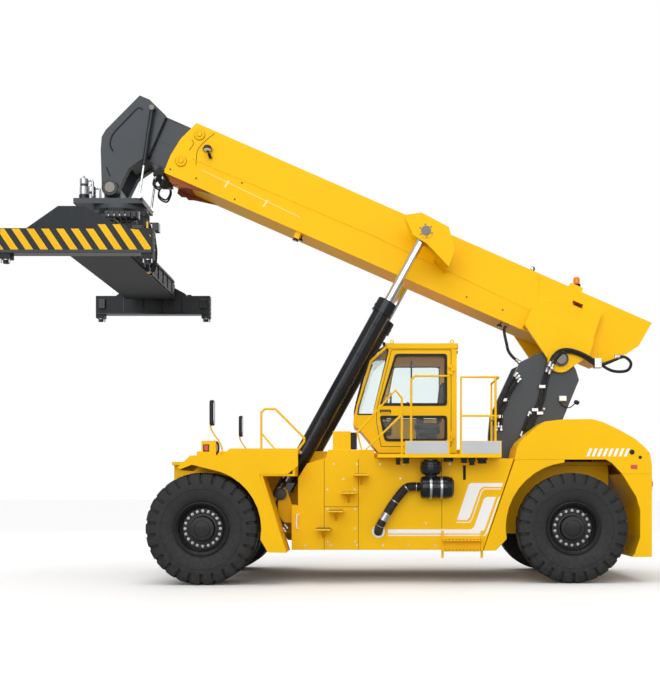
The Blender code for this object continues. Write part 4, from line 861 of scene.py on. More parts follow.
# Wiper and its arm, sun visor, and lamps at the front and the back of the roof.
wiper = [tube([(2.525, 0.10, 2.86), (2.535, 0.02, 3.05), (2.60, -0.10, 3.35), (2.655, -0.16, 3.52)],
              0.009, 8),
         tube([(2.565, -0.33, 3.19), (2.64, -0.22, 3.46), (2.74, -0.08, 3.78)], 0.011, 8),
         turned([(0.03, -0.02), (0.03, 0.015), (0.02, 0.02)], spot(2.535, 0.10, 2.87), (-1, 0, 0.1), 20)]
piece("wiper", wiper, black_plastic, "machine", "plastic")
visor = [flat_piece([(2.92, 3.96), (3.17, 4.16), (3.165, 4.168), (2.912, 3.968)], -0.62, 0.62, ALONG_Y)]
tinted = finish_of("tinted", (0.10, 0.15, 0.14), gloss=0.15, mottle=0.05, dust=0.05)
piece("sun_visor", visor, tinted, "machine", "plastic")
shells, glasses = [], []
for y in (-0.55, 0.55):
    shell, glass = lamp_head(spot(3.06, y, 4.235), (-1, 0, -0.25), 0.05)
    shells += [shell, rod([(3.09, y, 4.235), (3.16, y, 4.20)], 0.012)]
    glasses.append(glass)
shell, glass = lamp_head(spot(4.40, -0.60, 4.07), (1, 0, -0.3), 0.045)
shells += [shell, rod([(4.375, -0.60, 4.08), (4.36, -0.60, 4.12)], 0.012)]
glasses.append(glass)
piece("cab_lamps", shells, black_plastic, "machine", "plastic")
piece("cab_lamp_lenses", glasses, lamp_glass, "machine", "glass")


# ------------------------------------------------------------------ operator's seat and controls
# A foam seat in dark grey fabric with sewn channels, on a bellows base. In front of it are a moulded dash,
# a steering column and wheel, and on its arm the lever that works the boom.

def cushion(size, crown, place, channels=3, rings=14, steps=64):
    """Rings whose plan is x^4 + y^4 = 1. At a ring's angle the plan is scaled by cos^0.45 and the height is
    sin^0.8. The sides pull in by 2 in 100 between corners and 3 in 100 at mid height, crown * (1 - x^2) *
    (1 - y^2) lifts the top, and each channel is a groove shaped as exp(-(distance / 0.08)^2)."""
    origin, axes = place
    wide, long, thick = size
    t = turns(steps)
    plan_x = np.sign(np.cos(t)) * np.abs(np.cos(t)) ** 0.5
    plan_y = np.sign(np.sin(t)) * np.abs(np.sin(t)) ** 0.5
    waist = 1 - 0.02 * np.abs(np.cos(2 * t))
    made = []
    for level in np.linspace(-np.pi / 2 + 0.05, np.pi / 2 - 0.05, rings):
        scale = np.cos(level) ** 0.45 * waist * (1 - 0.03 * np.exp(-(level / 0.12) ** 2))
        x, y = plan_x * scale, plan_y * scale
        height = np.sign(np.sin(level)) * np.abs(np.sin(level)) ** 0.8 * np.ones_like(t)
        if level > 0:
            height += crown * (1 - x ** 2) * (1 - y ** 2)
            height -= 0.16 * np.exp(-((np.mod((y + 1) * channels / 2, 1) - 0.5)
                                      / 0.08) ** 2) * (np.abs(x) < 0.75)
        made.append(origin + (x * wide / 2)[:, None] * axes[0] + (y * long / 2)[:, None] * axes[1]
                    + (height * thick / 2)[:, None] * axes[2])
    return skin(made)


seat_fabric = finish_of("seat_fabric", (0.035, 0.038, 0.045), gloss=0.85, mottle=0.15, dust=0.15, grain=0.9)
lean = np.array([0.08, 0, 0.82]) / np.linalg.norm([0.08, 0, 0.82])
base_place = spot(3.885, 0, 2.765), np.eye(3)
back_place = spot(4.145, 0, 3.21), np.array([lean, Y, [-lean[2], 0, lean[0]]])
seat_base = piece("seat_cushion", [cushion((0.50, 0.51, 0.135), 0.12, base_place)], seat_fabric, "machine",
                  "plastic", 60)
seat_back = piece("seat_backrest", [cushion((0.80, 0.49, 0.11), 0.15, back_place, 4)], seat_fabric,
                  "machine", "plastic", 60)
stand = [block((3.72, -0.20, CAB_FLOOR), (4.10, 0.20, 2.36)), block((3.70, -0.22, 2.64), (4.12, 0.22, 2.70))]
folds = [(0.17 + 0.012 * (-1) ** i, 0.02 * i) for i in range(15)]
stand.append(turned(folds, spot(3.91, 0, 2.355), Z, 40))
for y in (-0.30, 0.30):
    stand.append(tube([(4.17, y * 0.87, 3.06), (4.12, y, 3.12), (3.80, y, 3.14)], 0.030, 12))
seat_stand = piece("seat_stand", stand, black_plastic, "machine", "plastic")
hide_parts("operator_seat")
tilt = np.array([-np.sin(np.radians(25)), 0, np.cos(np.radians(25))])
wheel_centre = spot(3.34, 0, 3.11)
dash = [block((2.86, -0.45, 2.62), (3.22, 0.45, 2.84), 0.02),
        block((2.90, -0.10, CAB_FLOOR), (3.12, 0.10, 2.65), 0.02),
        swept(through([spot(3.10, 0, 2.70), spot(3.26, 0, 2.93), wheel_centre - 0.02 * tilt]), 0.035, 16),
        ring_of(wheel_centre, tilt, 0.176, 0.014, 64, 12),
        turned([(0.045, -0.02), (0.05, 0.0), (0.04, 0.012), (0.01, 0.014)], wheel_centre, tilt, 32)]
for turn in np.radians((90, 210, 330)):
    one, two = across(tilt)[1:]
    dash.append(swept([wheel_centre + 0.03 * (np.cos(turn) * one + np.sin(turn) * two),
                       wheel_centre + 0.174 * (np.cos(turn) * one + np.sin(turn) * two)], 0.010, 8))
dash.append(flat_piece(softened(oblong(-0.12, 2.86, 0.12, 2.98), 0.02), 2.90, 2.94,
                       (spot(0, 0, 0), FACING_X), 0.004))
dash.append(block((3.50, 0.34, 2.98), (3.90, 0.46, 3.08), 0.012))
dash.append(block((3.70, 0.37, CAB_FLOOR), (3.85, 0.43, 2.99), 0.01))
dash.append(block((3.20, 0.28, 3.22), (3.235, 0.56, 3.43), 0.008))
dash.append(tube([(3.10, 0.40, 2.82), (3.16, 0.42, 3.10), (3.215, 0.42, 3.30)], 0.014))
dash.append(rod([(3.62, 0.62, 2.90), (3.62, 0.62, 3.50), (3.62, 0.62, 4.08)], 0.018))
dash.append(turned([(0.03, 0), (0.014, 0.03), (0.010, 0.09), (0.022, 0.12), (0.026, 0.17), (0.016, 0.20)],
                   spot(3.56, 0.40, 3.07), (-0.1, 0, 1), 24))
dash.append(block((2.95, 0.46, 3.05), (2.98, 0.68, 3.22), 0.006))
console = piece("dash_and_wheel", dash, black_plastic, "machine", "plastic")
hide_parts("cab_console")


# ------------------------------------------------------------------ mirrors
# Moulded black housings with a rounded back and a silvered glass, on bent tubes bolted to the fenders.

mirror_glass = finish_of("mirror_glass", (0.8, 0.82, 0.84), gloss=0.05, mottle=0.0, dust=0.05, metallic=1.0,
                         grain=0.0)
for sign, side in ((-1, "left"), (1, "right")):
    pole = through([spot(x, sign * 1.95, z) for x, z in ((0.33, 2.164), (0.33, 2.30), (0.28, 2.42),
                                                         (0.145, 2.64), (0.145, 2.92))])
    head = softened(oblong(-0.10, 2.68, 0.10, 3.11), 0.07, 6)
    across_head = spot(0.17, sign * 1.94, 0), FACING_X
    foot = turned([(0.04, 0.0), (0.04, 0.012), (0.02, 0.016)], spot(0.33, sign * 1.95, 2.164), Z, 20)
    piece("mirror_pole_" + side, [swept(pole, 0.014, 12), foot], yellow_enamel, "machine", "yellow_paint")
    solids = [flat_piece(head, -0.038, 0.032, across_head, 0.014)]
    solids += [ring_of(spot(0.145, sign * 1.95, z), Z, 0.017, 0.006, 20, 8) for z in (2.74, 2.88)]
    made = piece("mirror_housing_" + side, solids, black_plastic, "machine", "plastic")
    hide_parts("mirror_" + side)
    glass = softened(oblong(-0.085, 2.70, 0.085, 3.09), 0.06, 6)
    piece("mirror_glass_" + side, [flat_piece(glass, 0.030, 0.034, across_head)], mirror_glass, "machine",
          "glass")


# ------------------------------------------------------------------ boom tower
# Two thick plates welded up from the frame, in dark grey. The pivot pin is ground steel with a keeper plate,
# and the boom's hoses climb the left plate in two clamped bundles.

plated("boom_tower", grey_enamel)
PIVOT = spot(WHEELBASE - 0.04, 0, 3.95)
pin_faces, keepers = [], []
for sign in (-1, 1):
    out = sign * Y
    pin_faces.append(turned([(0.098, 0.0), (0.098, 0.006), (0.090, 0.012), (0.02, 0.013)],
                            PIVOT + [0, sign * 0.78, 0], out, 48))
    keepers.append(turned(oblong(0.102, -0.06, 0.132, -0.012), PIVOT + [0, sign * 0.78, 0], out, 48, True))
    keepers += hex_heads([PIVOT + [0.117 * np.cos(a), sign * 0.768, 0.117 * np.sin(a)]
                          for a in np.radians((20, 140, 260))], out, 0.010, 0.010)
bright_pin = finish_of("bright_pin", (0.20, 0.19, 0.17), gloss=0.5, mottle=0.2, dust=0.1, metallic=0.8)
piece("pivot_pin_faces", pin_faces, bright_pin, "machine", "chrome")
piece("pivot_keepers", keepers, black_enamel, "machine", "black_paint")


def on_side(y, points):
    """Points (x from the front axle, z) set at one y."""
    return [spot(x, y, z) for x, z in points]


def hose_run(paths, radius):
    """Smooth hoses through points, with a crimped sleeve and a nut at both ends of each."""
    hoses, ends = [], []
    for points in paths:
        line = through(points, 7)
        hoses.append(swept(line, radius, 12))
        for a, b in ((line[0], line[1]), (line[-1], line[-2])):
            way = (b - a) / np.linalg.norm(b - a)
            ends.append(turned([(radius * 1.25, -0.01), (radius * 1.25, 0.055), (radius * 1.05, 0.06)], a,
                               way, 14))
            ends.append(turned([(radius * 1.55, -0.035), (radius * 1.55, -0.008)], a, way, 6))
    return hoses, ends


tower_paths = [on_side(-0.665, [(5.52, 2.40), (5.68, 2.76), (5.79, 3.02), (5.88, 3.22), (5.95, 3.55),
                                (6.02, 3.78)]),
               on_side(-0.665, [(5.60, 2.40), (5.76, 2.76), (5.86, 3.00), (5.95, 3.20), (6.01, 3.50),
                                (6.07, 3.74)]), on_side(-0.645, [(5.56, 2.60), (5.62, 2.76), (5.70, 2.98)])]
bundle = [[(5.50, 3.64), (5.38, 3.52), (5.29, 3.34), (5.22, 3.16), (5.15, 3.02), (5.14, 2.76)],
          [(5.52, 3.58), (5.43, 3.46), (5.33, 3.28), (5.26, 3.10), (5.20, 2.96), (5.19, 2.70)],
          [(5.46, 3.68), (5.33, 3.50), (5.25, 3.30), (5.17, 3.14), (5.11, 2.96), (5.10, 2.70)]]
tower_paths += [on_side(-0.66 - 0.02 * i, line) for i, line in enumerate(bundle)]
hoses, ends = hose_run(tower_paths, 0.024)
piece("tower_hoses", hoses, rubber, "machine", "plastic")
for x, z in ((5.80, 3.04), (5.89, 2.98), (5.93, 3.46), (5.26, 3.22), (5.16, 2.92)):
    ends.append(block((x - 0.06, -0.70, z - 0.03), (x + 0.06, -0.622, z + 0.03), 0.006))
for x, z in ((5.73, 2.98), (5.97, 3.06)):
    ends += hex_heads([spot(x, -0.625, z)], -Y, 0.016, 0.05)
piece("tower_clamps", ends, zinc, "machine", "chrome")
lamps = [block((6.24, -0.70, 3.20), (6.37, -0.63, 3.29), 0.008)]
lamp_arm = [tube([(6.25, -0.66, 3.19), (6.30, -0.68, 3.12), (6.42, -0.68, 3.08), (6.52, -0.68, 3.15)],
                 0.010),
            turned([(0.03, 0.0), (0.05, 0.02), (0.05, 0.06), (0.02, 0.075)], spot(6.54, -0.68, 3.14),
                   (0.4, 0, 1), 24)]
piece("tower_junction_box", lamps, white_paint, "machine", "plastic")
piece("tower_lamp_arm", lamp_arm, black_plastic, "machine", "plastic")


# ------------------------------------------------------------------ outer boom
# A box of folded high-strength plate, 10 mm thick and welded along both webs, in yellow enamel. The front
# carries adjusters for the wear pads, and lamps, a beacon and the hoses past the pivot are bolted to it.

plated("boom_outer", yellow_enamel)
RISE = np.radians(23.7)
ALONG = np.array([-np.cos(RISE), 0, np.sin(RISE)])
UP = np.array([np.sin(RISE), 0, np.cos(RISE)])
BOOM_Y = 0.44


def on_boom(u, v, y):
    """A point u along the boom from the pivot, v square on it, and y across the machine."""
    return PIVOT + u * ALONG + v * UP + np.array([0, y, 0])


def boom_side(sign, y):
    """Axes for a flat piece on the boom's side, with (u, v) as its outline."""
    return on_boom(0, 0, sign * y), np.array([ALONG, UP, [0, sign, 0]])


ADJUSTERS = ((7.665, 1.157), (7.781, 0.578))
fittings, welds, dark, glasses, pads, pale, gaps = [], [], [], [], [], [], []
for sign in (-1, 1):
    face, out = boom_side(sign, BOOM_Y), sign * Y
    for u, v in ADJUSTERS:
        fittings.append(turned([(0.10, 0.0), (0.10, 0.012), (0.092, 0.018), (0.045, 0.018), (0.040, 0.030),
                                (0.02, 0.032)], on_boom(u, v, sign * BOOM_Y), out, 40))
        around = ring_at(on_boom(u, v, sign * (BOOM_Y + 0.018)), 0.074, 8, ALONG, UP)
        fittings += hex_heads(around, out, 0.010, 0.010)
    # Painted shade: thin dark ochre lines along the joints at the boom's mouth.
    for line in ([(7.42, 1.29), (7.48, 1.18), (7.55, 1.02), (7.58, 0.86), (7.50, 0.62)],
                 [(7.76, 1.02), (7.70, 0.96), (7.72, 0.82)]):
        run = [on_boom(u, v, sign * (BOOM_Y + 0.001)) for u, v in line]
        gaps.append(swept(through(run, 10), 0.0065, 8))
    for line in ([(7.62, 0.70), (4.00, 0.745), (0.62, 0.64)], [(0.60, 0.35), (0.75, 0.80), (0.95, 1.30)]):
        welds.append(swept([on_boom(u, v, sign * (BOOM_Y + 0.001)) for u, v in line], 0.006, 8))
    # Painted highlights: a long pale strip along the web and two short leaning ones.
    pale.append(flat_piece([(7.36, 0.575), (5.38, 0.505), (5.38, 0.515), (7.36, 0.585)], 0, 0.002, face))
    pale.append(flat_piece([(6.84, 0.46), (6.87, 0.46), (6.85, 0.60), (6.82, 0.60)], 0, 0.0025, face))
    pale.append(flat_piece([(6.05, 0.42), (6.08, 0.42), (6.06, 0.56), (6.03, 0.56)], 0, 0.0025, face))
    # Painted shade: thin dark ochre rings just outside each adjuster's disc and round its boss.
    for u, v in ADJUSTERS:
        gaps.append(turned([(0.10, 0.0), (0.10, 0.004), (0.107, 0.004), (0.107, 0.0)],
                           on_boom(u, v, sign * BOOM_Y), out, 40, True))
        gaps.append(turned([(0.046, 0.0), (0.046, 0.0195), (0.050, 0.0195), (0.050, 0.0)],
                           on_boom(u, v, sign * BOOM_Y), out, 32, True))
    # Painted shade: small discs and a square patch in the seam_shadow colour, dark spots on the web.
    for u, v in ((7.40, 0.40), (6.6, 0.33), (6.6, 0.66), (7.9, 0.36), (2.0, 0.40), (1.30, 0.45)):
        dark.append(turned([(0.016, 0.0), (0.016, 0.004)], on_boom(u, v, sign * BOOM_Y), out, 16))
    dark.append(flat_piece(oblong(0.03, 0.86, 0.13, 0.96), 0, 0.003, face))
    lug = on_boom(3.128, 1.026, sign * 1.205)
    fittings.append(turned([(0.135, -0.002), (0.135, 0.008), (0.10, 0.010)], lug, out, 48))
    pads.append(turned([(0.088, 0.009), (0.086, 0.020), (0.02, 0.021)], lug, out, 40))
    pads += hex_heads(ring_at(lug + 0.008 * sign * Y, 0.112, 6, ALONG, UP), out, 0.011, 0.010)
piece("boom_fittings", fittings, yellow_enamel, "boom", "yellow_paint")
piece("boom_welds", welds, yellow_enamel, "boom", "yellow_paint")
piece("boom_shade_spots", dark, seam_shadow, "boom", "black_paint")
# The dark ochre lines and rings are painted shade in the gaps.
piece("boom_gap_shade", gaps, finish_of("painted_gap_shade", (0.30, 0.13, 0.003), gloss=0.5, dust=0.1), "boom",
      "yellow_paint")
# The pale strips are painted highlights on the web.
piece("boom_painted_highlights", pale, finish_of("painted_highlight_yellow", (0.95, 0.80, 0.35), gloss=0.4, dust=0.1), "boom",
      "yellow_paint")
piece("lift_pin_faces", pads, bright_pin, "boom", "chrome")

# The nose bracket under the boom's mouth, cut plate in red oxide primer.
primer_red = finish_of("primer_red", (0.32, 0.075, 0.02), gloss=0.6, mottle=0.3, dust=0.2)
under = (on_boom(0, 0, 0), np.array([ALONG, UP, [0, 1, 0]]))
nose = [flat_piece([(7.86, 0.262), (7.84, 0.16), (7.74, 0.13), (7.66, 0.16), (7.60, 0.13), (7.50, 0.17),
                    (7.05, 0.262)], y - 0.02, y + 0.02, under, 0.004) for y in (-0.40, 0.40)]
nose.append(flat_piece([(7.72, 0.262), (7.72, 0.22), (7.52, 0.22), (7.50, 0.262)], -0.38, 0.38, under, 0.004))
piece("nose_bracket", nose, primer_red, "boom", "yellow_paint")

# Work lamps: one on the left web behind the mouth, three below the boom and one on top near its heel.
shells = []
for u, v, y, way, radius in ((7.40, 0.94, -0.52, (0.0, -0.25, -1), 0.085),
                             (5.30, 0.10, -0.34, (-0.3, 0, -1), 0.055),
                             (5.24, 0.16, -0.20, (-0.3, 0, -1), 0.05),
                             (1.23, 0.17, -0.30, (-0.2, 0, -1), 0.05),
                             (1.11, 1.36, -0.40, (-1, -0.6, 0), 0.05)):
    shell, glass = lamp_head(on_boom(u, v, y), way, radius)
    shells.append(shell)
    glasses.append(glass)
for start, end, radius, sides in (((7.40, 0.94, -0.44), (7.40, 0.95, -0.52), 0.03, 12),
                                  ((7.36, 0.90, -0.44), (7.30, 0.84, -0.50), 0.028, 12),
                                  ((5.30, 0.20, -0.34), (5.30, 0.14, -0.34), 0.012, 10),
                                  ((5.24, 0.26, -0.20), (5.24, 0.18, -0.20), 0.012, 10),
                                  ((1.23, 0.27, -0.30), (1.23, 0.20, -0.30), 0.012, 10),
                                  ((1.11, 1.32, -0.40), (1.11, 1.36, -0.40), 0.012, 10)):
    shells.append(swept([on_boom(*start), on_boom(*end)], radius, sides))
piece("boom_lamps", shells, black_plastic, "boom", "plastic")
piece("boom_lamp_lenses", glasses, lamp_glass, "boom", "glass")

# Rotating beacon: an amber dome on a black foot, clamped upright on the heel of the boom.
beacon_foot = on_boom(0.22, 1.43, -0.25)
piece("beacon_foot",
      [turned([(0.07, -0.02), (0.075, 0.0), (0.075, 0.035), (0.06, 0.045)], beacon_foot, Z, 32)],
      black_plastic, "boom", "plastic")
dome = [(0.058, 0.045), (0.060, 0.06), (0.060, 0.13), (0.055, 0.155), (0.040, 0.172), (0.012, 0.180)]
piece("beacon_dome", [turned(dome, beacon_foot, Z, 32)], amber_lens, "boom", "plastic")

# Two hoses loop past the pivot and end in the boom's heel, and one hangs from the boom before the tower.
boom_paths = [on_side(-0.82, [(6.04, 3.84), (6.10, 3.98), (6.22, 4.09), (6.40, 4.11), (6.64, 4.03),
                              (6.90, 3.88), (7.16, 3.73), (7.42, 3.73), (7.50, 3.86), (7.40, 3.97),
                              (7.24, 3.98)]),
              on_side(-0.78, [(6.09, 3.80), (6.16, 3.93), (6.28, 4.05), (6.45, 4.06), (6.66, 3.98),
                              (6.90, 3.83), (7.05, 3.86), (7.22, 3.93), (7.36, 3.99)])]
front_path = [on_boom(1.12, 0.25, -0.37), on_boom(1.13, 0.12, -0.44)]
boom_paths.append(front_path + on_side(-0.54, [(5.31, 4.24), (5.34, 4.12), (5.42, 4.01), (5.52, 3.93)]))
hoses, ends = hose_run(boom_paths, 0.027)
piece("heel_hoses", hoses, rubber, "boom", "plastic")
ends.append(block((6.84, -0.86, 3.78), (6.97, -0.72, 3.95), 0.008))
piece("heel_clamps", ends, zinc, "boom", "chrome")


# ------------------------------------------------------------------ inner boom and head
# The inner section is the same welded box one size down, in dark grey. Its head is two thick cheeks with a
# rolled stiffener, and the levelling dampers hang from a pin near its top.

for node in ("boom_inner", "boom_head"):
    plated(node, grey_enamel)
for node in ("damper_barrel_left", "damper_barrel_right"):
    plated(node, black_enamel, 0.003)
hard_chrome = finish_of("hard_chrome", (0.70, 0.71, 0.72), gloss=0.12, mottle=0.05, dust=0.0, metallic=1.0,
                        grain=0.03)
for node in ("damper_rod_left", "damper_rod_right"):
    plated(node, hard_chrome, 0.003)
stiffeners, discs, rings = [], [], []
for sign in (-1, 1):
    curve = on_side(sign * 0.432, [(-1.33, 8.55), (-1.42, 8.58), (-1.62, 8.38), (-1.87, 8.11),
                                   (-1.93, 7.92), (-1.88, 7.79)])
    stiffeners.append(swept(through(curve, 8), 0.013, 8))
    stiffeners.append(swept(np.array(on_side(sign * 0.432, [(-2.00, 7.50), (-1.93, 7.33)])), 0.009, 8))
    out = sign * Y
    head_pin = spot(-1.930, sign * 0.46, 7.1205)
    rings.append(turned([(0.10, -0.028), (0.155, -0.028), (0.155, -0.012), (0.14, 0.0), (0.10, 0.0)],
                        head_pin, out, 48, True))
    discs.append(turned([(0.098, -0.02), (0.098, 0.004), (0.09, 0.010), (0.02, 0.011)], head_pin, out, 48))
    top_pin = spot(-1.144, sign * 0.552, 8.54)
    discs.append(turned([(0.05, 0.0), (0.05, 0.02), (0.035, 0.026)], top_pin, out, 28))
piece("head_stiffeners", stiffeners, black_enamel, "boom_extension", "black_paint")
piece("head_pin_faces", discs, bright_pin, "boom_extension", "chrome")
piece("head_pin_rings", rings, black_enamel, "boom_extension", "black_paint")
seams = []
for sign in (-1, 1):
    face = boom_side(sign, 0.34)
    seams.append(flat_piece([(8.10, 0.78), (8.36, 0.76), (8.36, 0.772), (8.10, 0.792)], 0, 0.002, face))
    seams.append(flat_piece(oblong(8.02, 1.20, 8.36, 1.228), 0, 0.004, face))
    seams.append(flat_piece(oblong(8.34, 0.38, 8.37, 1.22), 0, 0.006, face))
piece("inner_boom_strips", seams, black_enamel, "boom_extension", "black_paint")


# ------------------------------------------------------------------ lift cylinders
# Honed steel barrels in black enamel with a screwed gland, chromed rods, and a supply pipe in clips along
# each barrel. Their foot pins sit in the frame.

for node in ("lift_barrel_left", "lift_barrel_right"):
    plated(node, black_enamel)
for node in ("lift_rod_left", "lift_rod_right"):
    plated(node, hard_chrome, 0.003)
LIFT_FOOT, LIFT_EYE = np.array([1.262, 0, 1.523]), np.array([3.808, 0, 6.147])
LIFT_WAY = (LIFT_EYE - LIFT_FOOT) / np.linalg.norm(LIFT_EYE - LIFT_FOOT)
LIFT_SQUARE = np.array([-LIFT_WAY[2], 0, LIFT_WAY[0]])
barrels, pipes, ports, feet = [], [], [], []
for sign in (-1, 1):
    out = sign * Y
    foot = spot(*LIFT_FOOT) + 1.05 * out
    for low, high, radius in ((3.64, 3.68, 0.186), (3.72, 3.76, 0.186), (3.85, 3.885, 0.172),
                              (0.30, 0.36, 0.168)):
        barrels.append(turned(oblong(0.15, low, radius, high), foot, LIFT_WAY, 64, True))
    barrels += hex_heads(ring_at(foot + 3.885 * LIFT_WAY, 0.14, 12, out, LIFT_SQUARE), LIFT_WAY, 0.010, 0.012)
    for side, end in ((0.170, 3.58), (0.196, 2.2)):
        line = [foot + 0.42 * LIFT_WAY + side * out * 0.9, foot + 0.55 * LIFT_WAY + side * out,
                foot + 1.2 * LIFT_WAY + side * out, foot + (end - 0.2) * LIFT_WAY + side * out,
                foot + end * LIFT_WAY + 0.16 * out]
        pipes.append(swept(through(line, 8), 0.013, 10))
    for s in (0.8, 1.5, 2.1, 2.8, 3.4):
        place = foot + s * LIFT_WAY + 0.165 * out
        pipes.append(turned([(0.024, -0.02), (0.024, 0.02)], place + 0.012 * out, LIFT_WAY, 12))
    for s in (0.42, 0.62, 0.80):
        ports.append(turned([(0.034, 0.0), (0.034, 0.05), (0.024, 0.055), (0.024, 0.09), (0.012, 0.095)],
                            foot + s * LIFT_WAY + 0.14 * out + 0.05 * LIFT_SQUARE, out, 6))
    ports.append(swept(through([foot + 0.62 * LIFT_WAY + 0.2 * out,
                                foot + 0.62 * LIFT_WAY + 0.2 * out + 0.16 * LIFT_SQUARE,
                                foot + 0.42 * LIFT_WAY + 0.2 * out + 0.24 * LIFT_SQUARE]), 0.02, 12))
    feet.append(turned([(0.105, -0.01), (0.105, 0.012), (0.09, 0.018), (0.02, 0.02)], foot + 0.215 * out,
                       out, 40))
piece("lift_glands", barrels, black_enamel, "lift_barrels", "black_paint")
piece("lift_pipes", pipes, black_enamel, "lift_barrels", "black_paint")
piece("lift_ports", ports, zinc, "lift_barrels", "chrome")
piece("lift_foot_pins", feet, grey_enamel, "machine", "grey_paint")
foot_paths = [on_side(s * 1.30, [(1.335, 1.857), (1.213, 1.682), (1.128, 1.419), (1.170, 1.121),
                                 (1.335, 0.894)]) for s in (-1, 1)]
foot_paths += [on_side(s * 1.25, [(1.38, 1.80), (1.27, 1.60), (1.19, 1.36), (1.23, 1.12), (1.36, 0.95)])
               for s in (-1, 1)]
hoses, ends = hose_run(foot_paths, 0.02)
piece("lift_foot_hoses", hoses, rubber, "machine", "plastic")
piece("lift_foot_unions", ends, zinc, "machine", "chrome")


# ------------------------------------------------------------------ yoke and slewing motors
# A welded yoke in dark grey hangs on the head's pin. Two geared hydraulic motors stand on its front plate
# and drive the slewing ring below, fed by hoses that hang in loops from the head.

plated("rotator_yoke", grey_enamel)
motors, motor_black = [], []
for sign in (-1, 1):
    foot = spot(-2.45, sign * 0.26, 6.93)
    motor_black.append(turned([(0.11, 0.0), (0.11, 0.025), (0.095, 0.03), (0.095, 0.10), (0.085, 0.105)],
                              foot, Z, 40))
    motor_black += hex_heads(ring_at(foot + 0.025 * Z, 0.098, 8, X, Y), Z, 0.008, 0.01)
    motors.append(turned([(0.078, 0.105), (0.082, 0.12), (0.082, 0.25), (0.070, 0.26), (0.070, 0.29),
                          (0.080, 0.30), (0.080, 0.39), (0.06, 0.405)], foot, Z, 40))
    motors.append(swept(through([foot + [0.05, 0, 0.37], foot + [0.14, 0, 0.37], foot + [0.16, 0, 0.28],
                                 foot + [0.16, 0, 0.08]]), 0.022, 12))
    motors.append(turned([(0.02, 0.0), (0.02, 0.05), (0.012, 0.06)], foot + [0, 0, 0.40], Z, 6))
piece("slew_motors", motors, zinc, "yoke", "chrome")
piece("slew_gearboxes", motor_black, black_enamel, "yoke", "black_paint")
yoke_paths = [[spot(-1.10 - 0.03 * i, y, 7.34), spot(-1.14 - 0.02 * i, y - 0.02, 7.22 - 0.02 * i),
               spot(-1.05, y - 0.03, 7.13 - 0.02 * i), spot(-0.97, y - 0.02, 7.21), spot(-0.98, y, 7.34)]
              for i, y in enumerate((-0.40, -0.32, 0.30, 0.38))]
hoses, ends = hose_run(yoke_paths, 0.016)
hoses.append(block((-1.14, -0.46, 7.34), (-0.94, 0.46, 7.44), 0.01))
piece("head_hoses", hoses, rubber, "boom_extension", "plastic")
piece("head_unions", ends, zinc, "boom_extension", "chrome")


# ------------------------------------------------------------------ slewing ring
# A bolted ball race whose toothed outer ring carries the spreader, over a round grey housing. The valve
# block and the hose frame turn with it.

plated("rotator", grey_enamel)
TEETH = 90
slew_low, slew_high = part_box("rotator")
SLEW_X = (slew_low.x + slew_high.x) / 2
X_MID = SLEW_X - AXLE_X
angle = turns(TEETH * 4)
radius = 0.512 + 0.012 * np.tile([0, 0, 1, 1], TEETH)
gear = np.stack([X_MID + radius * np.cos(angle), radius * np.sin(angle)], 1)
race = [flat_piece(gear, 6.66, 6.74, LEVEL)]
bolts = hex_heads(ring_at([SLEW_X, 0, 6.47], 0.46, 28, X, Y), -Z, 0.014, 0.02)
piece("slew_race", race, black_enamel, "rotator", "black_paint")
piece("slew_bolts", bolts, zinc, "rotator", "chrome")
valves = [block((-1.98, -0.66, 6.50), (-1.36, -0.54, 6.64), 0.008),
          block((-2.05, -0.62, 6.16), (-1.30, -0.55, 6.40), 0.006)]
for i in range(6):
    valves.append(block((-1.96 + 0.10 * i, -0.70, 6.52), (-1.90 + 0.10 * i, -0.66, 6.62), 0.006))
    valves.append(turned([(0.022, 0.0), (0.022, 0.06), (0.014, 0.07)], spot(-1.93 + 0.10 * i, -0.62, 6.44),
                         -Y, 16))
posts = [block((-1.26, y - 0.03, 5.56), (-1.19, y + 0.03, 6.50), 0.006) for y in (-0.52, -0.20)]
posts += [block((-1.25, -0.52, z), (-1.20, -0.20, z + 0.05), 0.004) for z in (5.60, 6.02, 6.44)]
posts += [block((-1.34, -0.50, 6.30), (-1.19, -0.22, 6.36), 0.004),
          block((-1.19, -0.46, 6.32), (-1.04, -0.28, 6.48), 0.012)]
piece("spreader_valves", valves, black_enamel, "rotator", "black_paint")
piece("hose_frame", posts, black_enamel, "rotator", "black_paint")
frame_paths = [[spot(-1.16, y, 6.40), spot(-1.13, y - 0.02, 6.18), spot(-1.11, y, 5.95),
                spot(-1.15, y + 0.02, 5.66), spot(-1.24, y, 5.60)]
               for y in (-0.47, -0.42, -0.37, -0.32, -0.27)]
frame_paths += [[spot(-1.90 + 0.1 * i, -0.68, 6.56), spot(-1.86 + 0.1 * i, -0.76, 6.46),
                 spot(-1.70 + 0.07 * i, -0.72, 6.22), spot(-1.55 + 0.05 * i, -0.60, 6.10)]
                for i in range(4)]
hoses, ends = hose_run(frame_paths, 0.014)
piece("spreader_hoses", hoses, rubber, "rotator", "plastic")
piece("spreader_unions", ends, zinc, "rotator", "chrome")
marks = [block((-1.74, -0.665, 6.245), (-1.60, -0.62, 6.285), 0.003),
         block((-1.24, -0.555, 6.34), (-1.21, -0.53, 6.47), 0.003)]
piece("valve_labels", marks, yellow_enamel, "rotator", "yellow_paint")


# ------------------------------------------------------------------ spreader frame and end beams
# A welded box frame with two telescopic beams, in dark grey enamel. The end beams' outer faces carry
# slanting yellow and dark grey warning stripes, and a twistlock hangs in each corner block.

DARK_GREY = (0.024, 0.028, 0.033)
spreader_enamel = finish_of("spreader_enamel", DARK_GREY, gloss=0.42, mottle=0.15, dust=0.1, shine=0.15)
for node in ("spreader_frame", "spreader_beam_left", "spreader_beam_right"):
    plated(node, spreader_enamel)
STRIPE_PITCH = 0.235
STRIPE_SLANT = 0.68


